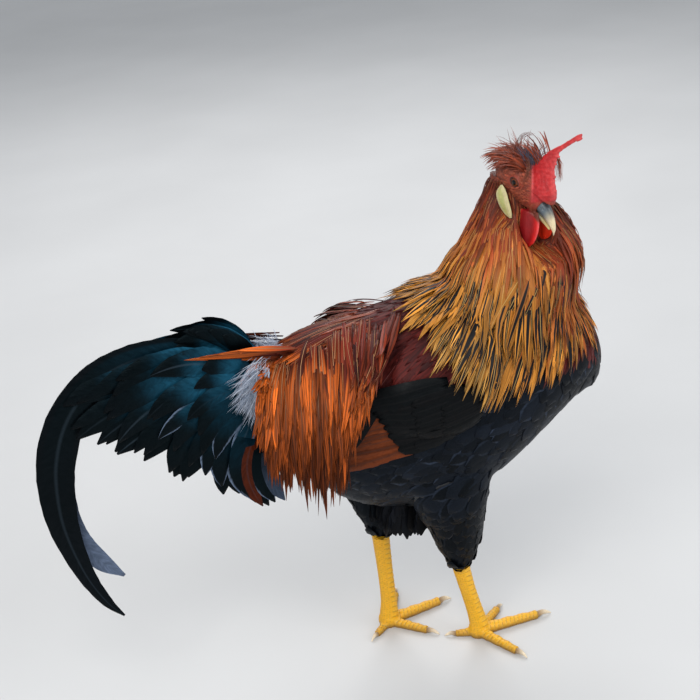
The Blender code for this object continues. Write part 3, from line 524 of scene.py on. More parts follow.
def points_of(obj):
    """The object's points in millimetres of the tables."""
    flat = np.empty(len(obj.data.vertices) * 3)
    obj.data.vertices.foreach_get("co", flat)
    return flat.reshape(-1, 3) / MM - SHIFT


def normals_of(obj):
    flat = np.empty(len(obj.data.vertices) * 3)
    obj.data.vertex_normals.foreach_get("vector", flat)
    return flat.reshape(-1, 3)


def move_points(obj, points):
    obj.data.vertices.foreach_set("co", world(points).ravel())
    obj.data.update()


def paint(obj, name, colours):
    """Colours of the points, with a fourth number kept beside them."""
    if colours.shape[-1] == 3:
        colours = np.concatenate([colours, np.ones((*colours.shape[:-1], 1))], -1)
    layer = obj.data.attributes.new(name, "FLOAT_COLOR", "POINT")
    layer.data.foreach_set("color", colours.reshape(-1).astype(np.float32))


class Ground:
    """What feathers lie on: its triangles, and the nearest place on it."""

    def __init__(self, obj):
        mesh = obj.data
        mesh.calc_loop_triangles()
        flat = np.empty(len(mesh.loop_triangles) * 3, int)
        mesh.loop_triangles.foreach_get("vertices", flat)
        self.points = points_of(obj)
        self.triangles = flat.reshape(-1, 3)
        self.normals = unit(normals_of(obj)[self.triangles].mean(1))
        self.tree = BVHTree.FromPolygons(self.points.tolist(), self.triangles.tolist())

    def nearest(self, places):
        found = [self.tree.find_nearest(place) for place in places.tolist()]
        points = np.array([hit[0] for hit in found])
        return points, self.normals[[hit[2] for hit in found]]

    def struck(self, starts, direction):
        """Where rays from the starts meet the ground, and which of the rays do."""
        found = [self.tree.ray_cast(start, direction)[0] for start in starts.tolist()]
        hit = np.array([point is not None for point in found])
        return np.array([point if point is not None else (0, 0, 0) for point in found]), hit

    def scatter(self, spacing, keep, chance):
        """Roots spread over the ground where keep is true, each a spacing from the others."""
        corners = self.points[self.triangles]
        edges = corners[:, 1:] - corners[:, :1]
        areas = np.linalg.norm(np.cross(edges[:, 0], edges[:, 1]), axis=1) / 2 * keep(corners.mean(1))
        tries = int(areas.sum() / spacing**2 * 4)
        chosen = chance.choice(len(areas), tries, p=areas / areas.sum())
        a, b = chance.random((2, tries))
        fold = a + b > 1
        a = np.where(fold, 1 - a, a)
        b = np.where(fold, 1 - b, b)
        first, second, third = (corners[chosen, i] for i in range(3))
        places = first + (second - first) * a[:, None] + (third - first) * b[:, None]
        cells = np.floor(places / spacing).astype(int)
        steps = list(itertools.product((-1, 0, 1), repeat=3))
        taken = {}
        kept = []
        for i, (cell, place) in enumerate(zip(cells.tolist(), places.tolist())):
            near = any(
                sum((p - q) ** 2 for p, q in zip(place, other)) < spacing**2
                for dx, dy, dz in steps
                for other in taken.get((cell[0] + dx, cell[1] + dy, cell[2] + dz), ())
            )
            if not near:
                taken.setdefault(tuple(cell), []).append(place)
                kept.append(i)
        return places[kept]


def lay(ground, roots, headings, lengths, stations, lift, cling=0.6, fall=0.0, turn=0.5):
    """Walks feathers over the ground: lift is the height wanted at each station, fall the pull downwards."""
    count = len(roots)
    path = np.empty((count, stations, 3))
    ups = np.empty((count, stations, 3))
    lift = np.broadcast_to(lift, (count, stations))
    fall = np.broadcast_to(fall, (count,))
    step = (np.broadcast_to(lengths, (count,)) / (stations - 1))[:, None]
    surface, normal = ground.nearest(roots)
    here = surface + normal * lift[:, :1]
    heading = unit(headings - normal * (headings * normal).sum(1, keepdims=True))
    path[:, 0] = here
    ups[:, 0] = normal
    for k in range(1, stations):
        aim = here + heading * step
        surface, normal = ground.nearest(aim)
        height = ((aim - surface) * normal).sum(1)
        miss = lift[:, k] - height
        push = np.where(miss > 0, miss, miss * cling)
        way = unit(aim + normal * push[:, None] - here)
        here = here + way * step
        heading = unit(heading * (1 - turn) + way * turn + DOWN * fall[:, None])
        path[:, k] = here
        ups[:, k] = normal
    return path, ups


def vanes(
    name, path, ups, half, looks, material, slot, unwrap, columns=3, thick=0.4, camber=0.25,
    patch=(PATCH, PATCH),
):
    """One piece of closed thin feathers: path and ups are (feather, station, 3), half (feather, station)."""
    count, stations = half.shape
    along = unit(np.gradient(path, axis=1))
    side = unit(np.cross(ups, along))
    normal = unit(np.cross(along, side))
    across = np.concatenate([np.linspace(-1, 1, columns), np.linspace(1, -1, columns)[1:-1]])
    face = np.concatenate([np.ones(columns), -np.ones(columns - 2)])
    ring = len(across)
    solid = thick / 2 * np.sqrt(half / half.max(1, keepdims=True))
    rise = face * (1 - across**2) * solid[..., None] - camber * across**2 * half[..., None]
    points = (
        path[:, :, None]
        + side[:, :, None] * (across * half[..., None])[..., None]
        + normal[:, :, None] * rise[..., None]
    )
    base = ((np.arange(count)[:, None] * stations + np.arange(stations - 1)) * ring)[..., None]
    first = base + np.arange(ring)
    next_one = base + (np.arange(ring) + 1) % ring
    quads = np.stack([first, first + ring, next_one + ring, next_one], -1).reshape(-1, 4)
    start_caps = np.arange(count)[:, None] * stations * ring + np.arange(ring)
    end_caps = (start_caps + (stations - 1) * ring)[:, ::-1]
    caps = np.concatenate([start_caps, end_caps])
    corners = np.concatenate([quads.ravel(), caps.ravel()])
    starts = np.concatenate([np.arange(len(quads)) * 4, len(quads) * 4 + np.arange(len(caps)) * ring])
    mesh = bpy.data.meshes.new(name)
    mesh.vertices.add(points.size // 3)
    mesh.vertices.foreach_set("co", world(points.reshape(-1, 3)).ravel())
    mesh.loops.add(len(corners))
    mesh.loops.foreach_set("vertex_index", corners.astype(np.int32))
    mesh.polygons.add(len(starts))
    mesh.polygons.foreach_set("loop_start", starts.astype(np.int32))
    mesh.update(calc_edges=True)
    mesh.shade_smooth()
    ends = np.empty(len(mesh.edges) * 2, int)
    mesh.edges.foreach_get("vertices", ends)
    ends = ends.reshape(-1, 2) % ring
    rim = (ends[:, 0] == ends[:, 1]) & np.isin(ends[:, 0], (0, columns - 1))
    mesh.attributes.new("sharp_edge", "BOOLEAN", "EDGE").data.foreach_set("value", rim)
    obj = add_object(name, mesh)
    steps = np.linalg.norm(np.diff(path, axis=1), axis=2)
    distance = np.concatenate([np.zeros((count, 1)), steps.cumsum(1)], 1)
    seed = np.random.default_rng(count).random(count)
    blade = rows_of(across, distance[..., None], seed[:, None, None])
    layer = mesh.attributes.new("Blade", "FLOAT_VECTOR", "POINT")
    layer.data.foreach_set("vector", blade.ravel().astype(np.float32))
    for layer, colour, extra in (("Vane", "vane", "stripe"), ("Core", "core", "shaft")):
        full = np.empty((count, stations, ring, 4))
        full[..., :3] = np.broadcast_to(looks[colour], (count, stations, 3))[:, :, None]
        full[..., 3] = np.broadcast_to(looks[extra], (count, stations))[..., None]
        paint(obj, layer, full.reshape(-1, 4))
    spot = np.empty((count, stations, ring, 2))
    spot[...] = unwrap[:, None, None]
    spot[..., 0] += patch[0] * (across + 1) / 2
    spot[..., 1] += patch[1] * even(stations)[:, None]
    mesh.uv_layers.new(name="OFBake").data.foreach_set("uv", spot.reshape(-1, 2)[corners].ravel())
    return finish_piece(obj, material, slot)


def around_body(roots):
    """An unwrap of the body's skin: how far along it a root is, and its turn about the long axis."""
    middle = shares(BODY, roots[:, 0])
    turn = np.arctan2(roots[:, 1], middle - roots[:, 2]) / FULL_TURN + 0.5
    along = (roots[:, 0] + 190) / 400 + (190 - np.minimum(roots[:, 2], 190)) / 400
    return np.clip(np.stack([turn, along], 1), 0.002, 0.994)


def around_head(roots):
    """An unwrap of the head's skin, about the line from its back to its bill."""
    place = of_head(roots)
    turn = np.arctan2(place[:, 1], -place[:, 2]) / FULL_TURN + 0.5
    return np.clip(np.stack([turn, (place[:, 0] + 40) / 90], 1), 0.002, 0.994)


# Materials


def node(tree, kind, *values, **settings):
    """A new node: values fill its inputs in order, where a socket is linked and None is left alone."""
    made = tree.nodes.new("ShaderNode" + kind)
    for key, value in settings.items():
        setattr(made, key, value)
    for socket, value in zip(made.inputs, values):
        if isinstance(value, bpy.types.NodeSocket):
            tree.links.new(value, socket)
        elif value is not None:
            socket.default_value = value
    return made


def maths(tree, operation, *values):
    return node(tree, "Math", *values, operation=operation).outputs[0]


def mixed(tree, share, first, second, way="MIX"):
    made = node(tree, "Mix", data_type="RGBA", blend_type=way)
    for index, value in ((0, share), (6, first), (7, second)):
        if isinstance(value, bpy.types.NodeSocket):
            tree.links.new(value, made.inputs[index])
        else:
            made.inputs[index].default_value = value
    return made.outputs[2]


def colour4(colour):
    return (*[float(c) for c in colour], 1.0)


def new_material(name, roughness, **settings):
    material = bpy.data.materials.new(name)
    material.use_nodes = True
    tree = material.node_tree
    shader = tree.nodes["Principled BSDF"]
    shader.inputs["Roughness"].default_value = roughness
    for key, value in settings.items():
        shader.inputs[key.replace("_", " ")].default_value = value
    return material, tree, shader


def mottled(tree, colour, noise, limits, amount):
    """The colour, darker and lighter by an amount where the noise is low and high."""
    shade = node(tree, "MapRange", noise, *limits, 1.0 - amount, 1.0 + amount, clamp=False).outputs[0]
    return mixed(tree, 1.0, colour, node(tree, "CombineColor", shade, shade, shade).outputs[0], "MULTIPLY")


def dress(tree, shader, colour, noise, roughness, height, relief, depth):
    """Links the colour, a roughness that a noise varies, and a bump of a strength and a depth in metres."""
    rough = node(tree, "MapRange", noise, 0.3, 0.7, *roughness).outputs[0]
    bump = node(tree, "Bump", relief, depth)
    tree.links.new(height, bump.inputs["Height"])
    for name, value in (("Base Color", colour), ("Roughness", rough), ("Normal", bump.outputs[0])):
        tree.links.new(value, shader.inputs[name])


def feather_material(name, roughness, streak, grain, lean, shaft_and_glint_colour=SHAFT_PALE, relief=0.35, **settings):
    """Feathers: colours from their points, a soft-edged middle stripe, a pale line down the middle, which is
    the shaft on some coats and a painted glint on others, and streaks of barbs.
    """
    material, tree, shader = new_material(name, roughness, **settings)
    vane, core, blade = (node(tree, "Attribute", attribute_name=layer) for layer in ("Vane", "Core", "Blade"))
    across, distance, seed = node(tree, "SeparateXYZ", blade.outputs["Vector"]).outputs[:3]
    wide = maths(tree, "ABSOLUTE", across)
    slant = maths(tree, "SUBTRACT", distance, maths(tree, "MULTIPLY", wide, lean))
    scales = ((across, grain[0]), (slant, grain[1]), (seed, SEED_STEP))
    streak_at = node(tree, "CombineXYZ", *(maths(tree, "MULTIPLY", *pair) for pair in scales)).outputs[0]
    barbs = node(tree, "TexNoise", streak_at, None, 1.0, 3.0, 0.6).outputs["Fac"]
    wobble = maths(tree, "MULTIPLY", maths(tree, "SUBTRACT", barbs, 0.5), 0.25)
    edge = maths(tree, "ADD", wide, wobble)
    low, high = (maths(tree, way, vane.outputs["Alpha"], 0.1) for way in ("SUBTRACT", "ADD"))
    outer = node(tree, "MapRange", edge, low, high, 0.0, 1.0, interpolation_type="SMOOTHSTEP").outputs[0]
    colour = mixed(tree, outer, core.outputs["Color"], vane.outputs["Color"])
    colour = mottled(tree, colour, barbs, (0.25, 0.75), streak)
    near = node(tree, "MapRange", wide, 0.03, 0.13, 1.0, 0.0).outputs[0]
    line = maths(tree, "MULTIPLY", near, core.outputs["Alpha"])
    colour = mixed(tree, line, colour, colour4(shaft_and_glint_colour))
    limits = (max(roughness - 0.08, 0.1), roughness + 0.12)
    dress(tree, shader, colour, barbs, limits, barbs, relief, 0.0006)
    return material


def flesh_material(name, roughness, grain, relief, mottle, **settings):
    """Bare skin: colours from its points, mottled, with small raised grains."""
    material, tree, shader = new_material(name, roughness, **settings)
    tint = node(tree, "Attribute", attribute_name="Tint").outputs["Color"]
    where = node(tree, "TexCoord").outputs["Object"]
    cloud = node(tree, "TexNoise", where, None, grain * 0.3, 4.0, 0.6).outputs["Fac"]
    colour = mottled(tree, tint, cloud, (0.3, 0.7), mottle)
    cells = node(tree, "TexVoronoi", where, None, grain).outputs["Distance"]
    fine = node(tree, "TexNoise", where, None, grain * 1.7, 3.0, 0.6).outputs["Fac"]
    height = maths(tree, "SUBTRACT", maths(tree, "MULTIPLY", fine, 0.5), cells)
    limits = (max(roughness - 0.1, 0.05), roughness + 0.1)
    dress(tree, shader, colour, cloud, limits, height, relief, 0.0005)
    return material


def finish_piece(obj, material, slot, *replaced):
    obj.data.materials.clear()
    obj.data.materials.append(material)
    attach(obj, "root")
    if replaced:
        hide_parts(*replaced)
    return obj


# Skin


def trunk_shell(rows, depth, count, sides, power):
    """A skin over upright rings: x, middle height, half height, half width, drawn in by a depth."""
    read = curve(rows, even(count))
    high, wide = np.maximum(read[:, 2:].T - depth, 2)
    centres = rows_of(read[:, 0], 0, read[:, 1])
    return skin_over(rings(centres, (0, 1, 0), (0, 0, 1), wide, high, sides, power))


def head_shell(rows, power=2.0):
    """A skin over rings in the head's frame: forward, middle up, half high, half wide."""
    read = curve(rows, even(40))
    centres = on_head(rows_of(read[:, 0], 0, read[:, 1]))
    return skin_over(rings(centres, HEAD_AXES[1], HEAD_AXES[2], read[:, 3], read[:, 2], 48, power))


def neck_ring(read, turn):
    """Points on the neck: turn 0 is the front, a right angle is the bird's left."""
    back, front = (rows_of(read[..., i], read[..., 5], read[..., i + 1]) for i in (0, 2))
    point = (back + front) / 2 + (front - back) / 2 * np.cos(turn)[..., None]
    point[..., 1] += read[..., 4] * np.sin(turn)
    return point


def lobe_gap(place, rows):
    """How far points in the head's frame are from a lobe's edge, seen from the side."""
    read = curve(rows, even(40))
    gaps = np.linalg.norm(place[..., None, ::2] - read[:, (0, 2)], axis=-1) - read[:, 3]
    return gaps.min(-1)


def clear_lobes(points, throat_depth, earlobe_side):
    """Moves points back behind the wattles and in from the earlobes, so that nothing covers them."""
    place = of_head(points)
    share = smooth(5.0, -0.5, lobe_gap(place, EARLOBE))
    drawn_in = np.clip(place[..., 1], -earlobe_side, earlobe_side)
    place[..., 1] = place[..., 1] * (1 - share) + drawn_in * share
    offset = place - (WATTLE[0][0], 0, WATTLE[0][2])
    down = offset @ WATTLE_DOWN
    back = offset @ THROAT_WAY
    share = smooth(17, 11, np.abs(place[..., 1])) * smooth(-6, 2, down) * smooth(46, 32, down)
    push = np.maximum(throat_depth - back, 0) * share
    return on_head(place + THROAT_WAY * push[..., None])


def neck_points(deepest, count):
    read = curve(NECK, np.linspace(0, deepest, count))
    return clear_lobes(neck_ring(read[:, None], turns(36)), throat_depth=11.5, earlobe_side=11.0)


def side_of_body(x, z, extra=0.0):
    """Half width of the body at a place on its side."""
    read = curve(BODY, even(200))
    middle, high, wide = (np.interp(x, read[:, 0], read[:, i]) for i in (1, 2, 3))
    share = np.clip(1 - np.abs((z - middle) / (high + extra)) ** BODY_POWER, 0, 1)
    return (wide + extra) * share ** (1 / BODY_POWER)


def wing_shell(sign):
    """The folded wing's flesh, a low cushion on the side of the body."""
    share = even(24)
    turn = turns(28)
    x, low, high = (column[:, None] for column in curve(WING_ROWS, share).T)
    swell = np.sqrt(np.clip(1 - (2 * share - 1) ** 6, 0.02, 1))[:, None]
    z = (low + high) / 2 + (high - low) / 2 * swell * np.cos(turn)
    y = side_of_body(x, z) + np.sin(turn) * WING_DEPTH * swell
    return skin_over(rows_of(x, sign * y, z))


def make_body_skin():
    shells = [trunk_shell(BODY, SKIN_DEPTH, 60, 48, BODY_POWER), skin_over(neck_points(1.0, 36))]
    shells.append(trunk_shell(TAIL_CORE, 0, 12, 24, 2.0))
    for side, sign in SIDES_OF_BIRD:
        shells.append(wing_shell(sign))
        shells.append(skin_over(limb_rings(THIGHS[side], even(20), 28, AHEAD)))
    return knead(join_shells("skin", shells), SKIN_VOXEL, SKIN_ROUNDS)


def lobe_rings(rows, sign, count, sides, fold):
    """A flat lobe hung from its first row, with lengthwise folds."""
    read = curve(rows, even(count))
    left = HEAD_AXES[1]
    first = on_head((rows[0][0], 0, rows[0][2]))
    last = on_head((rows[-1][0], 0, rows[-1][2]))
    wide = unit(np.cross(unit(last - first), left))
    centres = on_head(read[:, :3] * (1, sign, 1))
    all_rings = rings(centres, left, wide, read[:, 4], read[:, 3], sides)
    across = np.cos(turns(sides))
    place = even(count)[:, None]
    wave = np.cos(FULL_TURN * across[None] + 1.4 * place) * fold
    return all_rings + left * sign * wave[..., None]


def comb_shells():
    """The comb's blade, its serrated edge, and the fork of its spike."""
    forward, left, _ = HEAD_AXES
    height, ahead, long, thick, lean = curve(COMB, even(60)).T
    tooth = (height / 4.4) % 1.0
    bulge = 1.1 * np.where(tooth < 0.7, tooth / 0.7, (1 - tooth) / 0.3) * np.minimum(1, long / 8)
    centres = on_head(rows_of(ahead + bulge / 2, lean, height))
    shells = [skin_over(rings(centres, left, forward, thick, long + bulge / 2, 32))]
    for rows in COMB_SPIKES:
        read = curve(rows, even(8))
        centres = on_head(read[:, :3])
        along = unit(np.gradient(centres, axis=0))
        across = unit(np.cross(along, left))
        side = np.cross(across, along)
        shells.append(skin_over(rings(centres, side, across, read[:, 3] * 0.85, read[:, 3], 12)))
    return shells


def lid_shells(sign):
    """Rims of the upper and lower lid, an almond about the eye."""
    forward, left, up = HEAD_AXES
    count, sides = 48, 10
    turn = turns(count)
    around = turns(sides)
    faces = []
    for i in range(count):
        low, high = i * sides, (i + 1) % count * sides
        for j in range(sides):
            k = (j + 1) % sides
            faces.append((low + j, low + k, high + k, high + j)[::sign])
    shells = []
    for radius, thick, out in LIDS:
        middle = on_head((0, sign * out, 0))
        circle = middle + np.outer(np.cos(turn) * radius * LID_SHAPE[0], forward)
        circle += np.outer(np.sin(turn) * radius * LID_SHAPE[1], up)
        tube = (
            circle[:, None]
            + unit(circle - middle)[:, None] * (np.cos(around) * thick)[None, :, None]
            + left * sign * (np.sin(around) * thick)[None, :, None]
        )
        shells.append((tube.reshape(-1, 3), faces))
    return shells


def ball(name, centre, radii, axes=np.eye(3), segments=48, count=32):
    """A finely divided ball with its pole towards the second axis."""
    polar = np.linspace(0, math.pi, count)
    centres = centre + np.outer(np.cos(polar), axes[1]) * radii[1]
    shrink = np.maximum(np.sin(polar), 0.002)
    points, faces = skin_over(rings(centres, axes[0], axes[2], shrink * radii[0], shrink * radii[2], segments))
    return add_mesh(name, points, faces)


def make_head_skin():
    shells = [head_shell(HEAD), *comb_shells()]
    for _, sign in SIDES_OF_BIRD:
        shells += lid_shells(sign)
        wattle = [(f, l * WATTLE_SPLAY[sign], u, wide, thick) for f, l, u, wide, thick in WATTLE]
        shells.append(skin_over(lobe_rings(wattle, sign, 30, 40, 0.5)))
        shells.append(skin_over(lobe_rings(EARLOBE, sign, 24, 30, 0.0)))
    shells.append(skin_over(neck_points(0.16, 12)))
    head = knead(join_shells("head_skin", shells), HEAD_VOXEL, SKIN_ROUNDS)
    for _, sign in SIDES_OF_BIRD:
        middle = on_head((0, sign * EYE_SIDE, 0))
        cut(head, ball("socket", middle, (EYE_RADIUS + EYE_GAP,) * 3, HEAD_AXES))
    shape_face(head)
    return head


def from_eye(place, stretch=1.0):
    """How far points in the head's frame are from the nearer eye's lids, with heights stretched."""
    forward, left, up = place.T
    return np.sqrt(forward**2 + (np.abs(left) - LID_SIDE) ** 2 + (stretch * up) ** 2)


def shape_face(head):
    """Sinks the line of the mouth, wrinkles the face about the eyes, and raises lumps on the comb."""
    points = points_of(head)
    normals = normals_of(head)
    place = of_head(points)
    along = (place[:, 0] - MOUTH_CORNER[0]) / (MOUTH_FRONT[0] - MOUTH_CORNER[0])
    line = MOUTH_CORNER[1] + (MOUTH_FRONT[1] - MOUTH_CORNER[1]) * along
    on_line = (along > -0.3) & (along < 1.2) & (np.abs(place[:, 1]) < 12)
    groove = np.exp(-(((place[:, 2] - line) / 0.8) ** 2)) * on_line * smooth(-0.3, 0.1, along)
    away = from_eye(place)
    fold = np.sin(away * 2.6) * 0.22 * smooth(5.5, 7, away) * (1 - smooth(10, 14, away))
    inwards, above = comb_place(place)
    pebbles = 0.24 * comb_grain(place) * smooth(1, 3, inwards) * smooth(1, 3, above)
    move_points(head, points + normals * (fold + pebbles - 0.9 * groove)[:, None])


def comb_grain(place):
    """Uneven lumps of the comb's skin, from -1 to 1."""
    forward, _, up = place.T
    waves = np.sin(0.9 * forward + 2.4 * np.sin(0.43 * up)) * np.sin(0.8 * up + 1.9 * np.sin(0.37 * forward))
    fine = 0.4 * np.sin(3.7 * forward + 1.6 * np.sin(2.3 * up))
    return 0.6 * waves + fine * np.sin(3.3 * up + 1.7 * np.sin(2.9 * forward))


# Colours of the skin, the same as those of the feathers over it


def bar_line(x):
    """Height of the upper edge of the black wing bar."""
    return np.interp(x, (-80, -55, -9, 31, 58, 70), (304, 298, 289, 283, 274, 270))


def comb_place(place):
    """Where points in the head's frame lie on the comb: inwards from its rear edge, and above its foot."""
    forward, left, up = place.T
    side = np.abs(left)
    inwards = 0.596 * forward - 0.733 * side + 0.326 * up - 3
    return inwards, 22.5 - 0.74 * forward - 0.346 * side + 0.574 * up


def is_wing(points):
    low = np.interp(points[:, 0], (-78, -31, 0, 28, 41, 49, 62), (234, 240, 244, 251, 260, 268, 290))
    return (points[:, 2] > low) & (points[:, 0] > -80) & (points[:, 0] < 64) & (np.abs(points[:, 1]) > 20)


def body_colours(points):
    """Colours under the coat: the breast, belly and thighs are coal, the back is maroon, the neck rusty."""
    height = points[:, 2]
    share = smooth(292, 306, height - 0.12 * np.abs(points[:, 1]))
    colours = blend(COAL, MAROON_DARK, share)
    wing = is_wing(points)
    above = smooth(-4, 6, height - bar_line(points[:, 0]))
    colours = np.where(wing[:, None], blend(COAL, MAROON_DARK, above), colours)
    neck = smooth(330, 372, height + 0.25 * (points[:, 0] - 60)) * smooth(20, 50, points[:, 0])
    colours = blend(colours, NAPE, neck)
    saddle = smooth(-70, -90, points[:, 0]) * smooth(215, 245, height)
    colours = blend(colours, SADDLE_DEEP, saddle)
    tail = smooth(-134, -144, points[:, 0])
    return blend(colours, GREEN_BLACK, tail)


def head_colours(points):
    """Red comb and wattles, cream earlobes, and a rusty face that is redder about the eye, with painted shade
    on the lids and painted light on the comb and the wattles.
    """
    place = of_head(points)
    forward, left, up = place.T
    side = np.abs(left)
    colours = blend(FACE, FLESH, smooth(2, 18, forward))
    colours = blend(colours, srgb(150, 58, 36), 1 - smooth(6, 9, from_eye(place)))
    # Painted shade: the lids close about the eye are dark brown, as the eye lies in a hollow under the crest.
    colours = blend(colours, srgb(58, 28, 22), 1 - smooth(4.8, 6.2, from_eye(place, 1.3)))
    pale = smooth(3.5, 0, np.hypot(forward + 13, up + 12)) * (side > 10)
    colours = blend(colours, srgb(176, 132, 110), 0.7 * pale)
    inwards, above = comb_place(place)
    is_comb = smooth(-0.6, 0.8, inwards) * smooth(-1.0, 1.0, above)
    edge = np.interp(up, [row[0] for row in COMB], [row[1] + row[2] for row in COMB])
    comb = blend(COMB_RED, PINK, 0.3 * smooth(-3.5, 0.5, forward - edge))
    # Painted light on the comb: pinker on the tops of its lumps, and painted shade of deeper red in the dips
    # between them and at its foot, where it meets the head.
    comb = blend(comb, PINK, 0.16 * smooth(-0.1, 0.7, comb_grain(place)) + 0.3 * smooth(2.4, 1.2, inwards))
    comb = blend(comb, RED_DEEP, 0.5 * smooth(8, 0, above) + 0.25 * smooth(0.1, -0.7, comb_grain(place)))
    comb = blend(comb, RED_DEEP, 0.3 * smooth(-0.2, 0.9, np.sin(0.3 * up + 0.5) * np.sin(0.42 * inwards)))
    colours = blend(colours, comb, is_comb)
    colours = blend(colours, NAPE, smooth(430, 422, points[:, 2]))
    gap = lobe_gap(place, WATTLE)
    line = np.interp(forward, [row[0] for row in WATTLE], [row[2] for row in WATTLE])
    wattle = blend(RED_DEEP, RED, smooth(-8, -1, gap))
    # Painted highlight: pink near the edge of each wattle's upper part. Painted light: the left wattle is
    # brighter orange-red than the right.
    wattle = blend(wattle, PINK, 0.55 * smooth(-2.5, 0, gap) * smooth(0, 6, up - line))
    wattle = blend(wattle, srgb(238, 52, 20), smooth(2, 6, left))
    is_wattle = smooth(0.8, 0.2, gap) * smooth(2.6, 3.4, side) * smooth(-15, -18, up)
    colours = blend(colours, wattle, is_wattle)
    gap = lobe_gap(place, EARLOBE)
    lobe = blend(CREAM, CREAM_GREEN, smooth(-2, -5, gap) * 0.8)
    is_lobe = smooth(0.8, 0.3, gap) * smooth(12.2, 13.0, side)
    return blend(colours, lobe, is_lobe)


def make_skin():
    """One skin for all the flesh under the coat, down to the thighs."""
    body = make_body_skin()
    head = make_head_skin()
    body_ground = Ground(body)
    head_ground = Ground(head)
    cut(body, head, "UNION")
    points = points_of(body)
    gaps = np.full(len(points), 9.0)
    high = points[:, 2] > HEAD_LOW
    gaps[high] = np.linalg.norm(head_ground.nearest(points[high])[0] - points[high], axis=1)
    paint(body, "Tint", blend(body_colours(points), head_colours(points), gaps < 0.3))
    material = flesh_material("skin", 0.52, 900.0, 0.35, 0.16, Subsurface_Weight=0.08, Subsurface_Scale=0.002)
    nodes = ["torso", "saddle", "neck", "head", "crest", "comb", "tail"]
    for side, _ in SIDES_OF_BIRD:
        nodes += [word + side for word in ("wattle_", "earlobe_", "thigh_", "wing_")]
    finish_piece(body, material, "face_skin", *nodes)
    return body_ground, head_ground


# Eyes, bill, legs and claws


def make_eyes():
    for side, sign in SIDES_OF_BIRD:
        axes = HEAD_AXES * np.array([1, sign, 1])[:, None]
        eye = ball("eyeball_" + side, on_head((0, sign * EYE_SIDE, 0)), (EYE_RADIUS,) * 3, axes, 64, 48)
        place = of_head(points_of(eye)) - (0, sign * EYE_SIDE, 0)
        turn = np.degrees(np.arccos(np.clip(place[:, 1] * sign / EYE_RADIUS, -1, 1)))
        around = np.arctan2(place[:, 2], place[:, 0])
        iris = blend(srgb(120, 56, 22), srgb(92, 40, 18), 0.5 + 0.5 * np.sin(around * 31))
        colours = blend(srgb(8, 6, 6), iris, smooth(*PUPIL_EDGE, turn))
        paint(eye, "Tint", blend(colours, srgb(30, 14, 10), smooth(*IRIS_EDGE, turn)))
        shine = {"Coat_Weight": 0.25, "Coat_Roughness": 0.02, "Specular_IOR_Level": 0.2}
        material = flesh_material("eye_" + side, 0.12, 2600.0, 0.04, 0.05, **shine)
        finish_piece(eye, material, "eyes", "eye_" + side)


def make_beak():
    material = flesh_material("horn", 0.34, 1400.0, 0.12, 0.12, Coat_Weight=0.25, Coat_Roughness=0.2)
    for name, rows, power in (("upper", UPPER_BEAK, 1.8), ("lower", LOWER_BEAK, 2.2)):
        beak = add_mesh("beak_" + name + "_horn", *head_shell(rows, power))
        if name == "upper":
            for _, sign in SIDES_OF_BIRD:
                at = on_head((NOSTRIL_AT[0], sign * NOSTRIL_AT[1], NOSTRIL_AT[2]))
                cut(beak, ball("nostril", at, NOSTRIL_SIZE, HEAD_AXES, 24, 16))
        place = of_head(points_of(beak))
        colours = blend(HORN_BLUE, HORN_CREAM, smooth(33, 46, place[:, 0]))
        ridge = smooth(3.0, 5.5, place[:, 2] - shares(rows, place[:, 0]))
        colours = blend(colours, srgb(52, 58, 62), ridge * 0.6 * (1 - smooth(38, 46, place[:, 0])))
        if name == "lower":
            colours = blend(colours, srgb(206, 180, 96), 0.6 * smooth(24, 40, place[:, 0]))
        paint(beak, "Tint", colours)
        finish_piece(beak, material, "horn", "beak_" + name)


def toe_path(foot, degrees, length, root):
    """Path of a toe on the floor, with swollen pads between its joints."""
    heading = math.radians(degrees)
    place = even(25)
    radius = root * (1 - 0.3 * place) * (1 + 0.05 * np.cos(place * 8 * math.pi))
    x = foot[0] + math.cos(heading) * length * place
    y = foot[1] + math.sin(heading) * length * place
    return rows_of(x, y, radius * 0.84, radius, radius)


def scute_heights(points, lines):
    """Relief of the scales: broad plates in front and on top of the toes, small ones elsewhere."""
    best = np.full(len(points), 1e9)
    relief = np.zeros(len(points))
    for path, front, period in lines:
        gaps = np.linalg.norm(points[:, None] - path[None, :, :3], axis=2)
        index = gaps.argmin(1)
        away = gaps[np.arange(len(points)), index] / path[index, 3]
        ran = np.concatenate([[0], np.linalg.norm(np.diff(path[:, :3], axis=0), axis=1).cumsum()])
        along = unit(np.gradient(path[:, :3], axis=0))[index]
        outwards = points - path[index, :3]
        along_at = ran[index] + (outwards * along).sum(1)
        outwards = unit(outwards - along * (outwards * along).sum(1, keepdims=True))
        facing = outwards @ front
        side = (outwards * np.cross(along, front)).sum(1)
        turn = np.arctan2(side, facing)
        saw = ((along_at + 0.5 * np.abs(side) * period) / period) % 1.0
        plate = 0.45 * saw - 0.4 * (saw < 0.14)
        middle_cut = -0.25 * np.exp(-((side / 0.07) ** 2)) * (facing > 0)
        every_other = (np.floor(along_at * 2.3 / math.pi) % 2) * math.pi
        small = 0.36 * np.cos(along_at * 2.3) * np.cos(turn * 9 + every_other)
        front_share = smooth(-0.05, 0.35, facing)
        height = plate * front_share + middle_cut * front_share * 0.6 + small * (1 - front_share)
        nearer = away < best
        relief[nearer] = height[nearer]
        best[nearer] = away[nearer]
    return relief


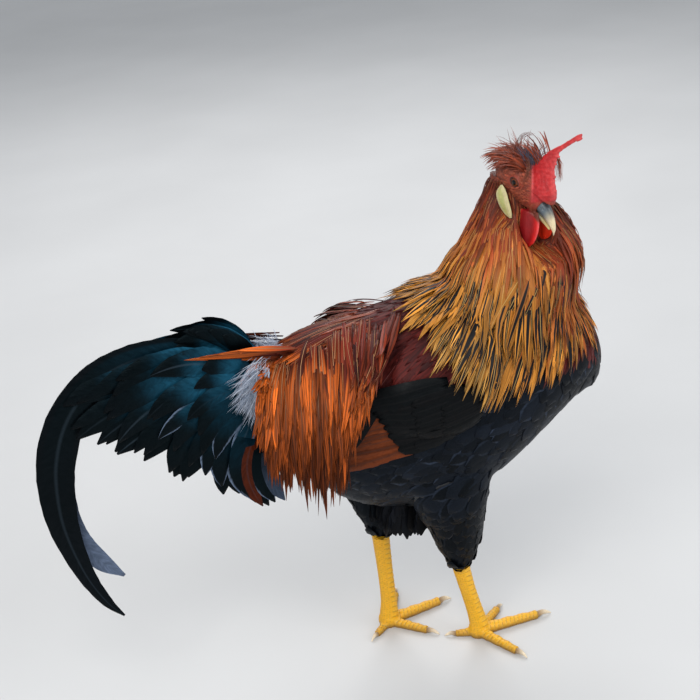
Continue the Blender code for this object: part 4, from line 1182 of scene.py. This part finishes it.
def make_legs():
    leg_skin = flesh_material(
        "leg_skin", 0.42, 1300.0, 0.25, 0.10, Subsurface_Weight=0.05, Subsurface_Scale=0.001
    )
    claw_horn = flesh_material("claw_horn", 0.36, 1500.0, 0.15, 0.16)
    for side, _ in SIDES_OF_BIRD:
        shells = [skin_over(limb_rings(SHANKS[side], even(60), 36, AHEAD))]
        pad = [(*FEET[side], *row) for row in FOOT_PAD]
        shells.append(skin_over(limb_rings(pad, even(16), 32, AHEAD)))
        lines = [(curve(SHANKS[side], even(80))[:, :4], AHEAD, SHANK_SCUTE)]
        for degrees, length, _, root in TOES[side].values():
            path = toe_path(FEET[side], degrees, length, root)
            shells.append(skin_over(limb_rings(path, even(60), 28, -DOWN)))
            lines.append((path[:, :4], -DOWN, TOE_SCUTE))
        leg = knead(join_shells("leg_skin_" + side, shells), LEG_VOXEL, LEG_ROUNDS)
        points = points_of(leg)
        relief = scute_heights(points, lines)
        points = points + normals_of(leg) * relief[:, None]
        points[:, 2] = np.maximum(points[:, 2], FLOOR_GAP)
        move_points(leg, points)
        # Painted light on the scales: paler on the raised plates, with painted shade in the grooves between
        # them and low on the feet where they meet the floor.
        colours = blend(LEG_YELLOW, LEG_HIGHLIGHT, smooth(0.2, 0.6, relief) * 0.6)
        colours = blend(colours, LEG_SHADE, smooth(-0.05, -0.5, relief) * 0.55)
        colours = blend(colours, LEG_SHADE, smooth(9, 2, points[:, 2]) * 0.6)
        paint(leg, "Tint", colours)
        finish_piece(leg, leg_skin, "leg_skin", "shank_" + side, "foot_" + side)
        for word, (degrees, length, claw, root) in TOES[side].items():
            heading = math.radians(degrees)
            radius = root * 0.56
            reach = np.array([-0.18, 0.1, 0.4, 0.75, 1.0]) * claw + length + 0.3
            rise = np.array([radius, radius + 0.4, radius + 1.2, radius * 0.7 + 0.6, 0.75])
            thick = np.array([0.9, 1.0, 0.8, 0.5, 0.14]) * radius
            x = FEET[side][0] + math.cos(heading) * reach
            y = FEET[side][1] + math.sin(heading) * reach
            rows = rows_of(x, y, rise, thick, thick * 0.8)
            points, faces = skin_over(limb_rings(rows, even(24), 20, -DOWN))
            points[:, 2] = np.maximum(points[:, 2], FLOOR_GAP)
            nail = add_mesh(f"nail_{word}_{side}", points, faces)
            far = np.hypot(points[:, 0] - FEET[side][0], points[:, 1] - FEET[side][1]) - length
            paint(nail, "Tint", blend(srgb(150, 118, 78), srgb(232, 214, 184), smooth(0, claw * 0.8, far)))
            finish_piece(nail, claw_horn, "horn", f"claw_{word}_{side}")


# Coat


def breast_headings(points):
    """The lie of the body's feathers: down the breast, back along the sides, down the thighs."""
    heading = blend(np.array([-1, 0, -0.28]), np.array([-0.45, 0, -1]), smooth(70, 160, points[:, 0]))
    return blend(heading, np.array([-0.3, 0, -1]), smooth(200, 175, points[:, 2]))


def vary(colours, chance, amount, stations):
    """Makes each feather a little lighter or darker than the next."""
    factor = np.exp(chance.normal(0, amount, (len(colours), 1, 1)))
    return np.broadcast_to(colours, (len(colours), stations, 3)) * factor


def kind_of(points):
    """The kind of coat at a place: 0 breast and belly, 1 wing bar, 2 wing bow, 3 back."""
    x, y, z = points.T
    wing = is_wing(points)
    above = z > np.where(wing, bar_line(x), 300 + 0.12 * np.abs(y))
    back = z > 375 + 1.22 * (x - 5)
    return np.where(above, np.where(back, 3, 2), np.where(wing, 1, 0))


def make_contour_coat(body):
    """Small overlapping feathers of breast, belly, thighs, back and wings."""
    chance = np.random.default_rng(5)
    stations = 6
    place = even(stations)

    def keep(points, kind):
        x, _, z = points.T
        neck = (z > 372 + 0.3 * (x - 100)) & (x > 60)
        return ~neck & (x > -150) & (kind_of(points) == kind)

    black = feather_material(
        "breast", 0.42, 0.3, (4.0, 0.5), 4.0, Specular_IOR_Level=0.1, Specular_Tint=(0.6, 0.8, 1.0, 1.0)
    )
    # The shaft colours of the bow and the back are those of painted glints.
    bow = feather_material("bow", 0.5, 0.4, (4.0, 0.12), 3.0, srgb(170, 100, 96), Specular_IOR_Level=0.15)
    red = feather_material("back", 0.45, 0.4, (4.0, 0.12), 3.0, srgb(236, 190, 180), Specular_IOR_Level=0.25)
    # Name, spacing, length, half width, camber, columns, material, slot.
    groups = (
        ("breast", 7.2, 36, 8.8, 0.07, 5, black, "breast_feathers"),
        ("wing_bar", 7.0, 34, 8.0, 0.07, 5, black, "wing_feathers"),
        ("wing_bow", 4.8, 38, 3.4, 0.05, 3, bow, "wing_feathers"),
        ("back", 4.2, 48, 1.8, 0.1, 3, red, "saddle_feathers"),
    )
    for kind, (name, spacing, long, wide, camber, columns, material, slot) in enumerate(groups):
        roots = body.scatter(spacing, lambda points, kind=kind: keep(points, kind), chance)
        _, y, z = roots.T
        count = len(roots)
        thigh = smooth(200, 165, z)
        length = long * (1 - 0.3 * thigh) * chance.uniform(0.85, 1.12, count)
        heading = breast_headings(roots)
        if name == "wing_bow":
            heading = heading + (0, 0, -0.55)
        if name == "back":
            heading = rows_of(-1, 0.5 * np.sign(y) * smooth(6, 40, np.abs(y)), -0.25)
        heading = heading + chance.normal(0, 0.07, (count, 3))
        lift = 0.15 + place * (0.4 + 0.9 * chance.random((count, 1))) * (1.8 if name == "back" else 1)
        path, ups = lay(body, roots, heading, length, stations, lift)
        wide = wide * (1 - 0.25 * thigh) * chance.uniform(0.85, 1.1, count)
        half = shares(CONTOUR if columns == 5 else POINTED, place) * wide[:, None]
        stripe = np.full((count, stations), 0.3)
        shaft = 0.0
        if name == "breast":
            # Painted shade: the feathers grow darker down the thighs, under the body, and lose their pale rims
            # there.
            core = blend(COAL * 0.3, SLATE_DARK * 0.6, chance.random(count)) * (1 - 0.6 * thigh[:, None])
            edge = blend(core, SLATE, 0.03 + 0.4 * chance.random(count) ** 3 * (1 - thigh))
            stripe = 0.8 - 0.3 * smooth(0.6, 1.0, place)[None].repeat(count, 0)
        elif name == "wing_bar":
            core = edge = blend(COAL * 0.3, GREEN_BLACK * 0.4, chance.random(count))
        elif name == "wing_bow":
            low = smooth(26, 4, z - bar_line(roots[:, 0]))
            edge = blend(blend(MAROON, MAROON_DARK, chance.random(count)), MAROON_DARK * 0.5, low)
            core = edge * 0.75
            # Painted glints: pale shafts on a few feathers of the upper bow.
            shaft = 0.5 * (chance.random((count, 1)) < 0.12 * (1 - low[:, None]))
        else:
            top = smooth(8, 30, np.abs(y))
            warm = blend(RUSSET, BROWN, chance.random(count))
            edge = blend(warm, blend(MAROON, BROWN, chance.random(count)), top)
            core = edge * 0.5
            # Painted glints: pale shafts on many feathers of the back.
            shaft = 0.9 * (chance.random((count, 1)) < 0.4)
        looks = {
            "vane": vary(edge[:, None], chance, 0.16, stations),
            "core": vary(core[:, None], chance, 0.12, stations),
            "stripe": stripe,
            "shaft": shaft,
        }
        unwrap = around_body(roots)
        vanes("coat_" + name, path, ups, half, looks, material, slot, unwrap, columns, 0.25, camber)


def make_belly_fluff():
    """Loose soft feathers that fill the space between the thighs."""
    chance = np.random.default_rng(11)
    stations = 7
    place = even(stations)
    count = 560
    spread = chance.uniform(-1, 1, (count, 2))
    roots = rows_of(-4 + 34 * spread[:, 0], 26 * spread[:, 1], 164 + 4 * chance.random(count))
    way = unit(rows_of(-0.12, -0.2 * spread[:, 1], -1) + chance.normal(0, 0.08, (count, 3)))
    length = 16 + 30 * np.sqrt(chance.random(count)) * (1 - 0.25 * spread[:, 0] ** 2)
    path = roots[:, None] + way[:, None] * (length[:, None] * place)[..., None]
    side = np.where(spread[:, 1] > 0, 1.0, -1.0)
    ups = rows_of(chance.normal(0, 0.5, count), side, 0)[:, None].repeat(stations, 1)
    half = shares(CONTOUR, place) * chance.uniform(3.6, 6.6, count)[:, None]
    tone = vary(blend(COAL * 0.25, SLATE_DARK * 0.4, chance.random(count))[:, None], chance, 0.15, stations)
    material = feather_material("fluff", 0.6, 0.35, (5.0, 0.3), 5.0, Specular_IOR_Level=0.1)
    looks = {"vane": tone, "core": tone * 0.8, "stripe": 0.4, "shaft": 0.0}
    unwrap = around_body(roots)
    vanes("belly_fluff", path, ups, half, looks, material, "breast_feathers", unwrap, 3, 0.25, 0.2)


def make_wing_feathers(body):
    """Coverts and flight feathers in rows on each wing."""
    chance = np.random.default_rng(8)
    stations = 9
    place = even(stations)
    material = feather_material("wing", 0.45, 0.25, (3.0, 0.2), 5.0, srgb(48, 44, 44), Specular_IOR_Level=0.1)
    parts = []
    for count, root_x, lean, low, high, length, growth, droop, lifts, half_width, kind in WING_FEATHERS:
        for _, sign in SIDES_OF_BIRD:
            z = np.linspace(low, high, count)
            roots, _ = body.struck(rows_of(root_x + lean * (z - low), sign * 200.0, z), (0, -sign, 0))
            slope = np.radians(droop + chance.uniform(-2, 2, count))
            heading = rows_of(-np.cos(slope), 0, -np.sin(slope))
            over = 0.08 if kind == "bay" else 0.2
            lift = lifts[0] + (lifts[1] - lifts[0]) * place + over * np.arange(count)[:, None]
            long = length * (1 + growth * np.arange(count)) * chance.uniform(0.97, 1.03, count)
            path, ups = lay(body, roots, heading, long, stations, lift, cling=0.9)
            half = np.tile(shares(ROUNDED, place) * half_width, (count, 1))
            if kind == "bay":
                outer, inner = (
                    vary((BAY * shade)[None, None].repeat(count, 0), chance, amount, stations)
                    for shade, amount in ((1, 0.12), (0.75, 0.15))
                )
            elif kind == "rim":
                outer = inner = np.tile(DOWN_GREY, (count, stations, 1))
            else:
                dark = blend(GREEN_BLACK * 0.4, COAL * 0.3, chance.random(count))
                outer = inner = vary(dark[:, None], chance, 0.1, stations)
            shaft = np.full((count, stations), 0.3 if kind == "bay" else 0.1)
            parts.append((path, ups, half, roots, outer, inner, shaft))
    path, ups, half, roots, outer, inner, shaft = (np.vstack(part) for part in zip(*parts))
    looks = {"vane": outer, "core": inner, "stripe": 0.3, "shaft": shaft}
    vanes("wing_quills", path, ups, half, looks, material, "wing_feathers", around_body(roots), 5, 0.6, 0.18)


def make_hackles(body):
    """The cape: long pointed feathers from the whole neck, gold towards their tips with dark middles."""
    chance = np.random.default_rng(3)
    stations = 9
    place = even(stations)
    table = np.array(HACKLES)
    material = feather_material(
        "hackle", 0.42, 0.35, (6.0, 0.06), 4.0, srgb(236, 190, 110), relief=0.4, Specular_IOR_Level=0.2
    )
    for name, low, high, count, slim, mixture in HACKLE_LAYERS:
        depth = low + (high - low) * chance.random(count)
        turn = FULL_TURN * even_shares(count)
        read = curve(NECK, depth)
        below = curve(NECK, depth + 0.06)
        roots = neck_ring(read, turn)
        heading = unit(neck_ring(below, turn) - roots)
        heading[:, 0] -= 0.9 * depth * np.sin(turn) ** 2
        heading += chance.normal(0, 0.06, (count, 3))
        back, side, front, height, wide = (np.interp(depth, table[:, 0], table[:, i]) for i in range(1, 6))
        end = np.where(np.cos(turn) > 0, front, back)
        length = (side * np.sin(turn) ** 2 + end * np.cos(turn) ** 2) * chance.uniform(0.82, 1.1, count)
        frontal = smooth(0.1, 0.9, np.cos(turn + 0.5))[:, None]
        rise = height[:, None] * np.minimum(1, place / 0.6) ** 0.8 * chance.uniform(0.55, 1.15, (count, 1))
        rise = rise * (1 - 0.6 * frontal * smooth(0.3, 0.6, depth)[:, None])
        path, ups = lay(body, roots, heading, length, stations, rise, cling=0.5, fall=0.05)
        path = clear_lobes(path, throat_depth=8.0, earlobe_side=12.0)
        half = shares(POINTED, place) * (slim * wide * chance.uniform(0.7, 1.1, count))[:, None]
        ran = depth[:, None] * 150 + place * length[:, None]
        colours = ramp(HACKLE_COLOURS, ran * (1 - 0.36 * frontal) + chance.normal(0, 14, (count, 1)))
        colours = colours * np.exp(chance.normal(-0.05, mixture, (count, 1, 1)))
        dark = smooth(80, 125, ran) * (chance.random((count, 1)) < 0.7 - 0.35 * frontal)
        stripe = dark * chance.uniform(0.3, 0.7, (count, 1)) * (1 - 0.3 * smooth(0.85, 1, place))
        bold = (chance.random((count, 1)) < 0.08) & (depth[:, None] > 0.3)
        stripe = np.where(bold & (ran > 105), 0.85, stripe)
        looks = {
            "vane": colours,
            "core": np.where(stripe[..., None] > 0.01, COAL * 0.7, colours * 0.7),
            "stripe": np.maximum(stripe, 0.12),
            "shaft": 0.6 * (chance.random((count, 1)) < 0.35) * np.ones((1, stations)),
        }
        vanes(name, path, ups, half, looks, material, "hackle_feathers", around_body(roots), 3, 0.35, 0.3)


def make_saddle(body):
    """Long hackles that hang from the back over the rump and the ends of the wings."""
    chance = np.random.default_rng(4)
    stations = 10
    place = even(stations)
    # Its pale shaft colour is that of painted glints.
    material = feather_material(
        "saddle", 0.42, 0.4, (6.0, 0.06), 4.0, srgb(236, 170, 120), relief=0.4, Specular_IOR_Level=0.12
    )
    count = 320
    x = -34 - 92 * even_shares(count)
    y = chance.uniform(-11, 11, count)
    roots, _ = body.struck(rows_of(x, y, 500.0), (0, 0, -1))
    heading = rows_of(-1, 0.03 * y, 0) + chance.normal(0, 0.05, (count, 3))
    length = np.interp(x, (-128, -40), (48, 80)) * chance.uniform(0.8, 1.1, count)
    rise = place * (4 * chance.uniform(0.4, 1.1, count))[:, None]
    path, ups = lay(body, roots, heading, length, stations, rise, cling=0.5)
    # The sides hang as a curtain: each feather follows a part of a line from the back down to the hem.
    sides = 2000
    start = 0.44 * np.sqrt(chance.random(sides))
    run = start[:, None] + 0.57 * chance.uniform(0.78, 1.08, (sides, 1)) * place
    share = even_shares(sides)
    # Tips gather in bundles of uneven length, as hackles do.
    bundle = (np.floor(share * 20 + chance.normal(0, 0.5, sides)) + 0.5) / 20
    hem = curve(SADDLE_HEM, np.clip(0.6 * share + 0.4 * bundle, 0, 1))
    hem[:, 0] = curve(SADDLE_HEM, share)[:, 0] + chance.normal(0, 4, sides)
    hem[:, 3] += 8 * np.sin(bundle * 61) + chance.normal(0, 4, sides)
    # Some of the foremost start and end further forwards and higher, which hides the edge of the saddle.
    ahead = 30 * chance.random(sides) ** 2 * smooth(0.3, 0.0, share)
    hem += np.outer(ahead, (1.0, 0.6, 0.0, 1.1))
    sign = np.where(np.arange(sides) % 2 == 0, 1.0, -1.0)
    start_x, end_x, wide, low = hem.T
    top = body.struck(rows_of(start_x, 0, 500.0), (0, 0, -1))[0][:, 2]
    wide = wide * sign
    near = end_x - start_x
    lean = 0.25 * smooth(0.3, 0.7, share)
    corners = (
        rows_of(start_x, 4 * sign, top + 2),
        rows_of(start_x + (0.35 + lean) * near, 0.5 * wide, top - 6),
        rows_of(start_x + (0.65 + lean) * near, wide, low + 0.55 * (top - low)),
        rows_of(end_x, wide, low),
    )
    weights = ((1 - run) ** 3, 3 * run * (1 - run) ** 2, 3 * run**2 * (1 - run), run**3)
    curtain = sum(weight[..., None] * corner[:, None] for weight, corner in zip(weights, corners))
    curtain[..., 1] += sign[:, None] * (place * 5 * chance.random((sides, 1)) - 8 * start[:, None])
    surface, normal = body.nearest(curtain.reshape(-1, 3))
    surface, normal = surface.reshape(curtain.shape), normal.reshape(curtain.shape)
    front = (0.3 + 0.7 * smooth(0.0, 0.3, share))[:, None]
    rise = 0.8 + np.minimum(1, place / 0.45) * chance.uniform(2, 8, (sides, 1)) * front
    miss = np.maximum(rise - ((curtain - surface) * normal).sum(-1), 0)
    curtain = curtain + normal * miss[..., None] + chance.normal(0, 3.5, (sides, 1, 3)) * (place**2)[:, None]
    path = np.vstack([path, curtain])
    ups = np.vstack([ups, unit(normal + 0.5 * rows_of(0, sign, 0)[:, None])])
    count += sides
    half = shares(POINTED, place) * (3.0 * chance.uniform(0.5, 1.15, count))[:, None]
    tuft = 40
    spread = chance.uniform(-1, 1, tuft)
    side = np.where(np.arange(tuft) % 4 == 0, 1, -1)
    long = chance.uniform(50, 82, tuft)
    x = chance.uniform(-122, -104, tuft)[:, None] - long[:, None] * place
    z = (330 + 6 * spread)[:, None] + place * (16 - 5 * spread[:, None]) - 3 * place**3
    path = np.vstack([path, rows_of(x, (side * (16 + 4 * spread))[:, None], z)])
    ups = np.vstack([ups, rows_of(0, 0.75 * side, 0.65)[:, None].repeat(stations, 1)])
    half = np.vstack([half, np.tile(shares(POINTED, place) * 2.6, (tuft, 1))])
    count += tuft
    # Painted shade: the saddle grows darker towards the bottom, where it hangs low at the side of the body.
    lower = smooth(310, 225, path[..., 2])
    warm = blend(SADDLE_DEEP, SADDLE_ORANGE, smooth(0.05, 0.5, place)[None].repeat(count, 0))
    colours = blend(warm, SADDLE_DEEP * 0.5, 0.9 * lower * (1 - 0.7 * smooth(0.8, 1.0, place)))
    border = 300 - 0.45 * (path[..., 0] + 50) + chance.normal(0, 10, (count, 1))
    deep = blend(MAROON, RUSSET, 0.75 * chance.random(count))[:, None].repeat(stations, 1)
    colours = blend(colours, deep, smooth(-10, 14, path[..., 2] - border))
    colours = colours * np.exp(chance.normal(-0.35, 0.5, (count, 1, 1))) * (1 - 0.5 * lower)[..., None]
    # Painted glints: pale shafts on half the feathers, high on the saddle.
    pale = (chance.random((count, 1)) < 0.5) * smooth(270, 330, path[..., 2])
    looks = {"vane": colours, "core": colours * 0.4, "stripe": 0.3, "shaft": 0.6 * pale}
    unwrap = around_body(path[:, 0])
    vanes("saddle_hackles", path, ups, half, looks, material, "saddle_feathers", unwrap, 3, 0.35, 0.3)


def arc(root, tip, bend, sign, offset, place):
    """An arched feather from root to tip, given as x and z, that moves out by an offset from the middle."""
    way = tip - root
    middle = (root + tip) / 2 + bend * np.array([way[1], -way[0]])
    weights = ((1 - place) ** 2, 2 * place * (1 - place), place**2)
    x, z = sum(np.outer(corner, weight) for corner, weight in zip((root, middle, tip), weights))
    inner = min(offset, 6)
    return rows_of(x, sign * (inner + (offset - inner) * np.minimum(1, 3 * place)), z)


def make_tail():
    """Main tail feathers, lesser sickles and coverts, in fans from the rump."""
    chance = np.random.default_rng(6)
    stations = 16
    place = even(stations)
    material = feather_material(
        "tail", 0.36, 0.4, (2.0, 0.25), 12.0, srgb(70, 84, 96), relief=0.5, Specular_IOR_Level=0.08,
        Specular_Tint=(0.5, 0.85, 1.0, 1.0),
    )
    parts = []
    for fan, (count, first, last, tips, offsets, half_width) in enumerate(TAIL_FANS):
        for _, sign in SIDES_OF_BIRD:
            for i in range(count):
                share = i / (count - 1)
                root = blend(np.array(first, float), np.array(last, float), share)
                aim = np.clip(share + chance.normal(0, 0.03), 0, 1)
                tip = curve(tips, np.array([aim]))[0] + chance.normal(0, 3, 2)
                offset = offsets[0] + (offsets[1] - offsets[0]) * share
                path = arc(root, tip, TAIL_BENDS[fan] * chance.uniform(0.8, 1.4), sign, offset, place)
                ragged = 1 + 0.02 * chance.normal(0, 1, stations)
                half = shares(TAPERED, place) * half_width * chance.uniform(0.9, 1.25) * ragged
                # Painted sheen: teal on the upper feathers near their roots, fading to black towards the tips
                # and down each fan, and weaker on the outermost fan.
                sheen_tone = TEAL_SHEEN * chance.uniform(0.6, 2.3) * (1 - share) ** 1.5 * (0.55 if fan == LAST_FAN else 1)
                tone = ramp([(0, sheen_tone), (0.5, sheen_tone), (0.75, GREEN_BLACK * 0.6), (1, COAL * 0.25)], place)
                shaft = chance.uniform(-0.6, 0.3)
                edge = tone
                if fan >= GREY_FAN and share > 0.35 and chance.random() < 0.5:
                    edge = blend(tone, DOWN_GREY, 0.7 * smooth(0.1, 0.5, place))
                if fan == LAST_FAN and i == count - 3:
                    edge = tone = np.tile(SADDLE_DEEP * 0.5, (stations, 1))
                if fan == LAST_FAN and i == count - 1:
                    edge = tone = ramp([(0, COAL), (0.5, SLATE_DARK), (1, SLATE)], place)
                ups = np.tile((0.0, sign, 0.12), (stations, 1))
                core = tone * chance.uniform(0.7, 1.2)
                parts.append((path, ups, half, edge, core, np.full(stations, max(shaft, 0.0))))
    path, ups, half, edge, core, shaft = (np.array(part) for part in zip(*parts))
    looks = {"vane": edge, "core": core, "stripe": 0.82, "shaft": shaft}
    unwrap = around_body(path[:, 0])
    vanes("tail_fans", path, ups, half, looks, material, "tail_feathers", unwrap, 7, 0.7, 0.16)
    for side, sign in SIDES_OF_BIRD:
        along = even(SICKLE_STATIONS)
        read = curve(SICKLES[side], along)
        path = rows_of(read[:, 0], sign * (2 + 9 * along**3), read[:, 1])[None]
        ups = np.tile((0.0, sign, 0.0), (1, SICKLE_STATIONS, 1))
        half = np.maximum(read[:, 2], 0.6) * (1 + 0.015 * chance.normal(0, 1, SICKLE_STATIONS))
        end = [(0.62, COAL * 0.3), (0.78, COAL * 0.5 if side == "right" else srgb(92, 104, 126))]
        looks = {
            "vane": ramp([(0, GREEN_BLACK), (0.35, COAL * 0.4), *end], along)[None],
            # Painted sheen: teal at the root of the sickle's middle.
            "core": ramp([(0, TEAL_SHEEN * 0.4), (0.35, GREEN_BLACK * 0.6), *end], along)[None],
            "stripe": 0.7,
            "shaft": 0.14,
        }
        sickle = vanes(
            "sickle_" + side, path, ups, half[None], looks, material, "tail_feathers",
            np.array([[0.2, 0.02]]), 11, 1.2, 0.14, SICKLE_PATCH,
        )
        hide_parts(*[f"sickle_{side}_{n}" for n in (1, 2, 3)])


def make_down():
    """White and grey down about the root of the tail."""
    chance = np.random.default_rng(9)
    stations = 7
    place = even(stations)
    count = 1300
    material = feather_material("down", 0.7, 0.25, (4.0, 0.4), 2.0, srgb(240, 240, 240))
    sign = np.where(chance.random(count) < 0.6, -1, 1)
    top = chance.random(count) < 0.2
    z = np.where(top, chance.uniform(328, 336, count), chance.normal(315, 7, count))
    x = np.where(top, chance.uniform(-134, -112, count), chance.uniform(-144, -130, count))
    y = sign * np.where(top, chance.uniform(0, 16, count), chance.uniform(20, 29, count))
    slope = np.radians(np.where(top, chance.normal(30, 30, count), chance.normal(-40, 24, count)))
    heading = rows_of(-np.cos(slope), sign * chance.uniform(0.0, 0.3, count), np.sin(slope))
    length = np.where(top, chance.uniform(8, 17, count), chance.uniform(14, 32, count))
    path = rows_of(x, y, z)[:, None] + heading[:, None] * (length[:, None] * place)[..., None]
    path[..., 2] -= 5 * place**2
    ups = np.tile((0.0, 1.0, 0.3), (count, stations, 1)) * sign[:, None, None]
    half = shares(STRAND, place) * chance.uniform(0.18, 0.42, count)[:, None]
    colours = blend(DOWN_GREY, DOWN_WHITE, chance.random(count))[:, None]
    looks = {"vane": colours, "core": colours, "stripe": 0.0, "shaft": 0.0}
    unwrap = around_body(path[:, 0])
    vanes("down_tail", path, ups, half, looks, material, "tail_feathers", unwrap, 3, 0.25, 0.3)


def make_face_coat(head):
    """Tiny feathers of the face and throat, and the loose crest swept back from the comb."""
    chance = np.random.default_rng(7)
    stations = 4
    place = even(stations)

    def keep(points):
        spot = of_head(points)
        forward, left, up = spot.T
        inwards, above = comb_place(spot)
        comb = (inwards > -0.6) & (above > -1)
        lobe = (np.abs(left) > 12.2) & (lobe_gap(spot, EARLOBE) < 1)
        beard = (forward > 17) & (up < -15)
        face = (forward < 25) & (up < 16) & (forward > -34)
        return (from_eye(spot) > 6.2) & ~comb & ~lobe & ~beard & face

    roots = head.scatter(FACE_SPACING, keep, chance)
    count = len(roots)
    spot = of_head(roots)
    heading = rows_of(-1, 0, -0.35 - 0.02 * np.maximum(0, -spot[:, 2])) @ HEAD_AXES
    heading += chance.normal(0, 0.12, (count, 3))
    length = np.interp(spot[:, 0], (-30, 0, 24), (8.5, 5.2, 2.6)) * chance.uniform(0.8, 1.2, count)
    lift = 0.05 + place * (0.5 + 0.7 * chance.random((count, 1)))
    path, ups = lay(head, roots, heading, length, stations, lift, cling=0.8)
    half = shares(CONTOUR, place) * (length * 0.17)[:, None]
    tone = blend(srgb(176, 84, 54), srgb(126, 52, 34), chance.random(count))
    tone = blend(tone, NAPE, smooth(-5, -25, spot[:, 0]))
    tone = vary(tone[:, None], chance, 0.2, stations)
    material = feather_material("face_feathers", 0.55, 0.2, (3.0, 1.5), 2.0, relief=0.2)
    looks = {"vane": tone, "core": tone * 0.75, "stripe": 0.3, "shaft": 0.0}
    unwrap = around_head(roots)
    vanes("face_feathers", path, ups, half, looks, material, "hackle_feathers", unwrap, 3, 0.2, 0.2)

    stations = 9
    place = even(stations)
    count = 800
    forward = chance.uniform(-22, 4, count)
    left = chance.uniform(-11, 11, count) * np.sqrt(np.clip(1 - ((forward + 9) / 18) ** 2, 0.1, 1))
    roots, hit = head.struck(on_head(rows_of(forward, left, 60.0)), tuple(-HEAD_AXES[2]))
    roots, forward, left = roots[hit], forward[hit], left[hit]
    count = len(roots)
    back = smooth(2, -14, forward)
    fluffy = (chance.random(count) < 0.5) & (forward > -9) & (np.abs(left) < 5)
    loose = (chance.random(count) < 0.04) | fluffy
    stray = np.where(loose, 0.22, 0.09)[:, None]
    heading = rows_of(-1.0 - 0.2 * back, left / 18, 0.52 - 0.5 * back)
    heading = np.where(loose[:, None], rows_of(-0.9, left / 20, 0.75), heading)
    heading = unit((heading + chance.normal(0, 1, (count, 3)) * stray) @ HEAD_AXES)
    length = np.where(fluffy, chance.uniform(10, 17, count), chance.uniform(16, 28, count))
    path = np.empty((count, stations, 3))
    here = roots - HEAD_AXES[2] * 1.0
    bend = chance.normal(0, 0.03, (count, 3))
    fall = np.where(loose, 0.06, 0.16)[:, None]
    for k in range(stations):
        path[:, k] = here
        heading = unit(heading + DOWN * fall + bend)
        here = here + heading * (length / (stations - 1))[:, None]
        if k > 1:
            surface, normal = head.nearest(here)
            low = ((here - surface) * normal).sum(1) < 1.2
            here[low] = (surface + normal * 1.2)[low]
    half = shares(STRAND, place) * np.where(loose, 0.3, chance.uniform(0.45, 1.15, count))[:, None]
    tone = blend(NAPE, RUSSET, chance.random(count)) * np.exp(chance.normal(0, 0.25, (count, 1)))
    tone = np.where(fluffy[:, None], srgb(88, 88, 106), tone)
    # Single strands beside the comb and before the eye, read from a few places in the head's frame.
    for places, number, wide, spread, colour in STRANDS:
        read = on_head(curve(places, place)) + chance.normal(0, 1, (number, 1, 3)) * spread
        path = np.vstack([path, read + chance.normal(0, 0.5, (number, stations, 3)) * place[:, None]])
        roots = np.vstack([roots, read[:, 0]])
        half = np.vstack([half, np.tile(shares(STRAND, place) * wide, (number, 1))])
        tone = np.vstack([tone, colour * chance.uniform(0.7, 1.3, (number, 1))])
    along = np.gradient(path, axis=1)
    ups = unit(np.cross(np.cross(along, HEAD_AXES[2]), along))
    looks = {"vane": tone[:, None], "core": tone[:, None] * 0.7, "stripe": 0.3, "shaft": 0.0}
    material = feather_material("crest_feathers", 0.5, 0.3, (3.0, 0.4), 3.0)
    unwrap = around_head(roots)
    vanes("crest_feathers", path, ups, half, looks, material, "hackle_feathers", unwrap, 3, 0.25, 0.3)


# Studio


def make_studio():
    scene = bpy.context.scene
    azimuth, pitch, roll = (math.radians(a) for a in (CAMERA_AZIMUTH, CAMERA_PITCH, CAMERA_ROLL))
    level = math.cos(pitch)
    forward = np.array([-math.sin(azimuth) * level, math.cos(azimuth) * level, -math.sin(pitch)])
    right = unit(np.cross(forward, (0, 0, 1.0)))
    up = np.cross(right, forward)
    turned_right = math.cos(roll) * right - math.sin(roll) * up
    turned_up = math.sin(roll) * right + math.cos(roll) * up
    data = bpy.data.cameras.new("camera")
    data.lens = CAMERA_LENS
    data.sensor_width = CAMERA_SENSOR
    camera = bpy.data.objects.new("camera", data)
    scene.collection.objects.link(camera)
    turn = Matrix([turned_right, turned_up, -forward]).transposed().to_4x4()
    camera.matrix_world = Matrix.Translation(CAMERA_AT) @ turn
    scene.camera = camera

    bpy.ops.mesh.primitive_grid_add(x_subdivisions=40, y_subdivisions=40, size=FLOOR_SIZE, location=(0, 4, 0))
    floor = bpy.context.object
    floor.name = "floor"
    material, tree, shader = new_material("floor", 0.6)
    where = node(tree, "TexCoord").outputs["Object"]
    cloud = node(tree, "TexNoise", where, None, 3.0, 4.0, 0.5).outputs["Fac"]
    tone = node(tree, "MapRange", cloud, 0.3, 0.7, *FLOOR_TONES).outputs[0]
    tree.links.new(node(tree, "CombineColor", tone, tone, tone).outputs[0], shader.inputs["Base Color"])
    floor.data.materials.append(material)

    for name, at, size, power, colour in LIGHTS:
        data = bpy.data.lights.new(name, "AREA")
        data.size = size
        data.energy = power
        data.color = colour
        light = bpy.data.objects.new(name, data)
        light.location = at
        light.rotation_euler = (Vector(LIT_PLACE) - Vector(at)).to_track_quat("-Z", "Y").to_euler()
        scene.collection.objects.link(light)
    scene.view_settings.view_transform = "Standard"
    sky = bpy.data.worlds.new("studio")
    sky.use_nodes = True
    sky.node_tree.nodes["Background"].inputs[0].default_value = SKY
    sky.node_tree.nodes["Background"].inputs[1].default_value = SKY_STRENGTH
    scene.world = sky


def main():
    make_studio()
    body, head = make_skin()
    make_eyes()
    make_beak()
    make_legs()
    make_contour_coat(body)
    make_belly_fluff()
    make_wing_feathers(body)
    make_saddle(body)
    make_hackles(body)
    make_tail()
    make_down()
    make_face_coat(head)


main()
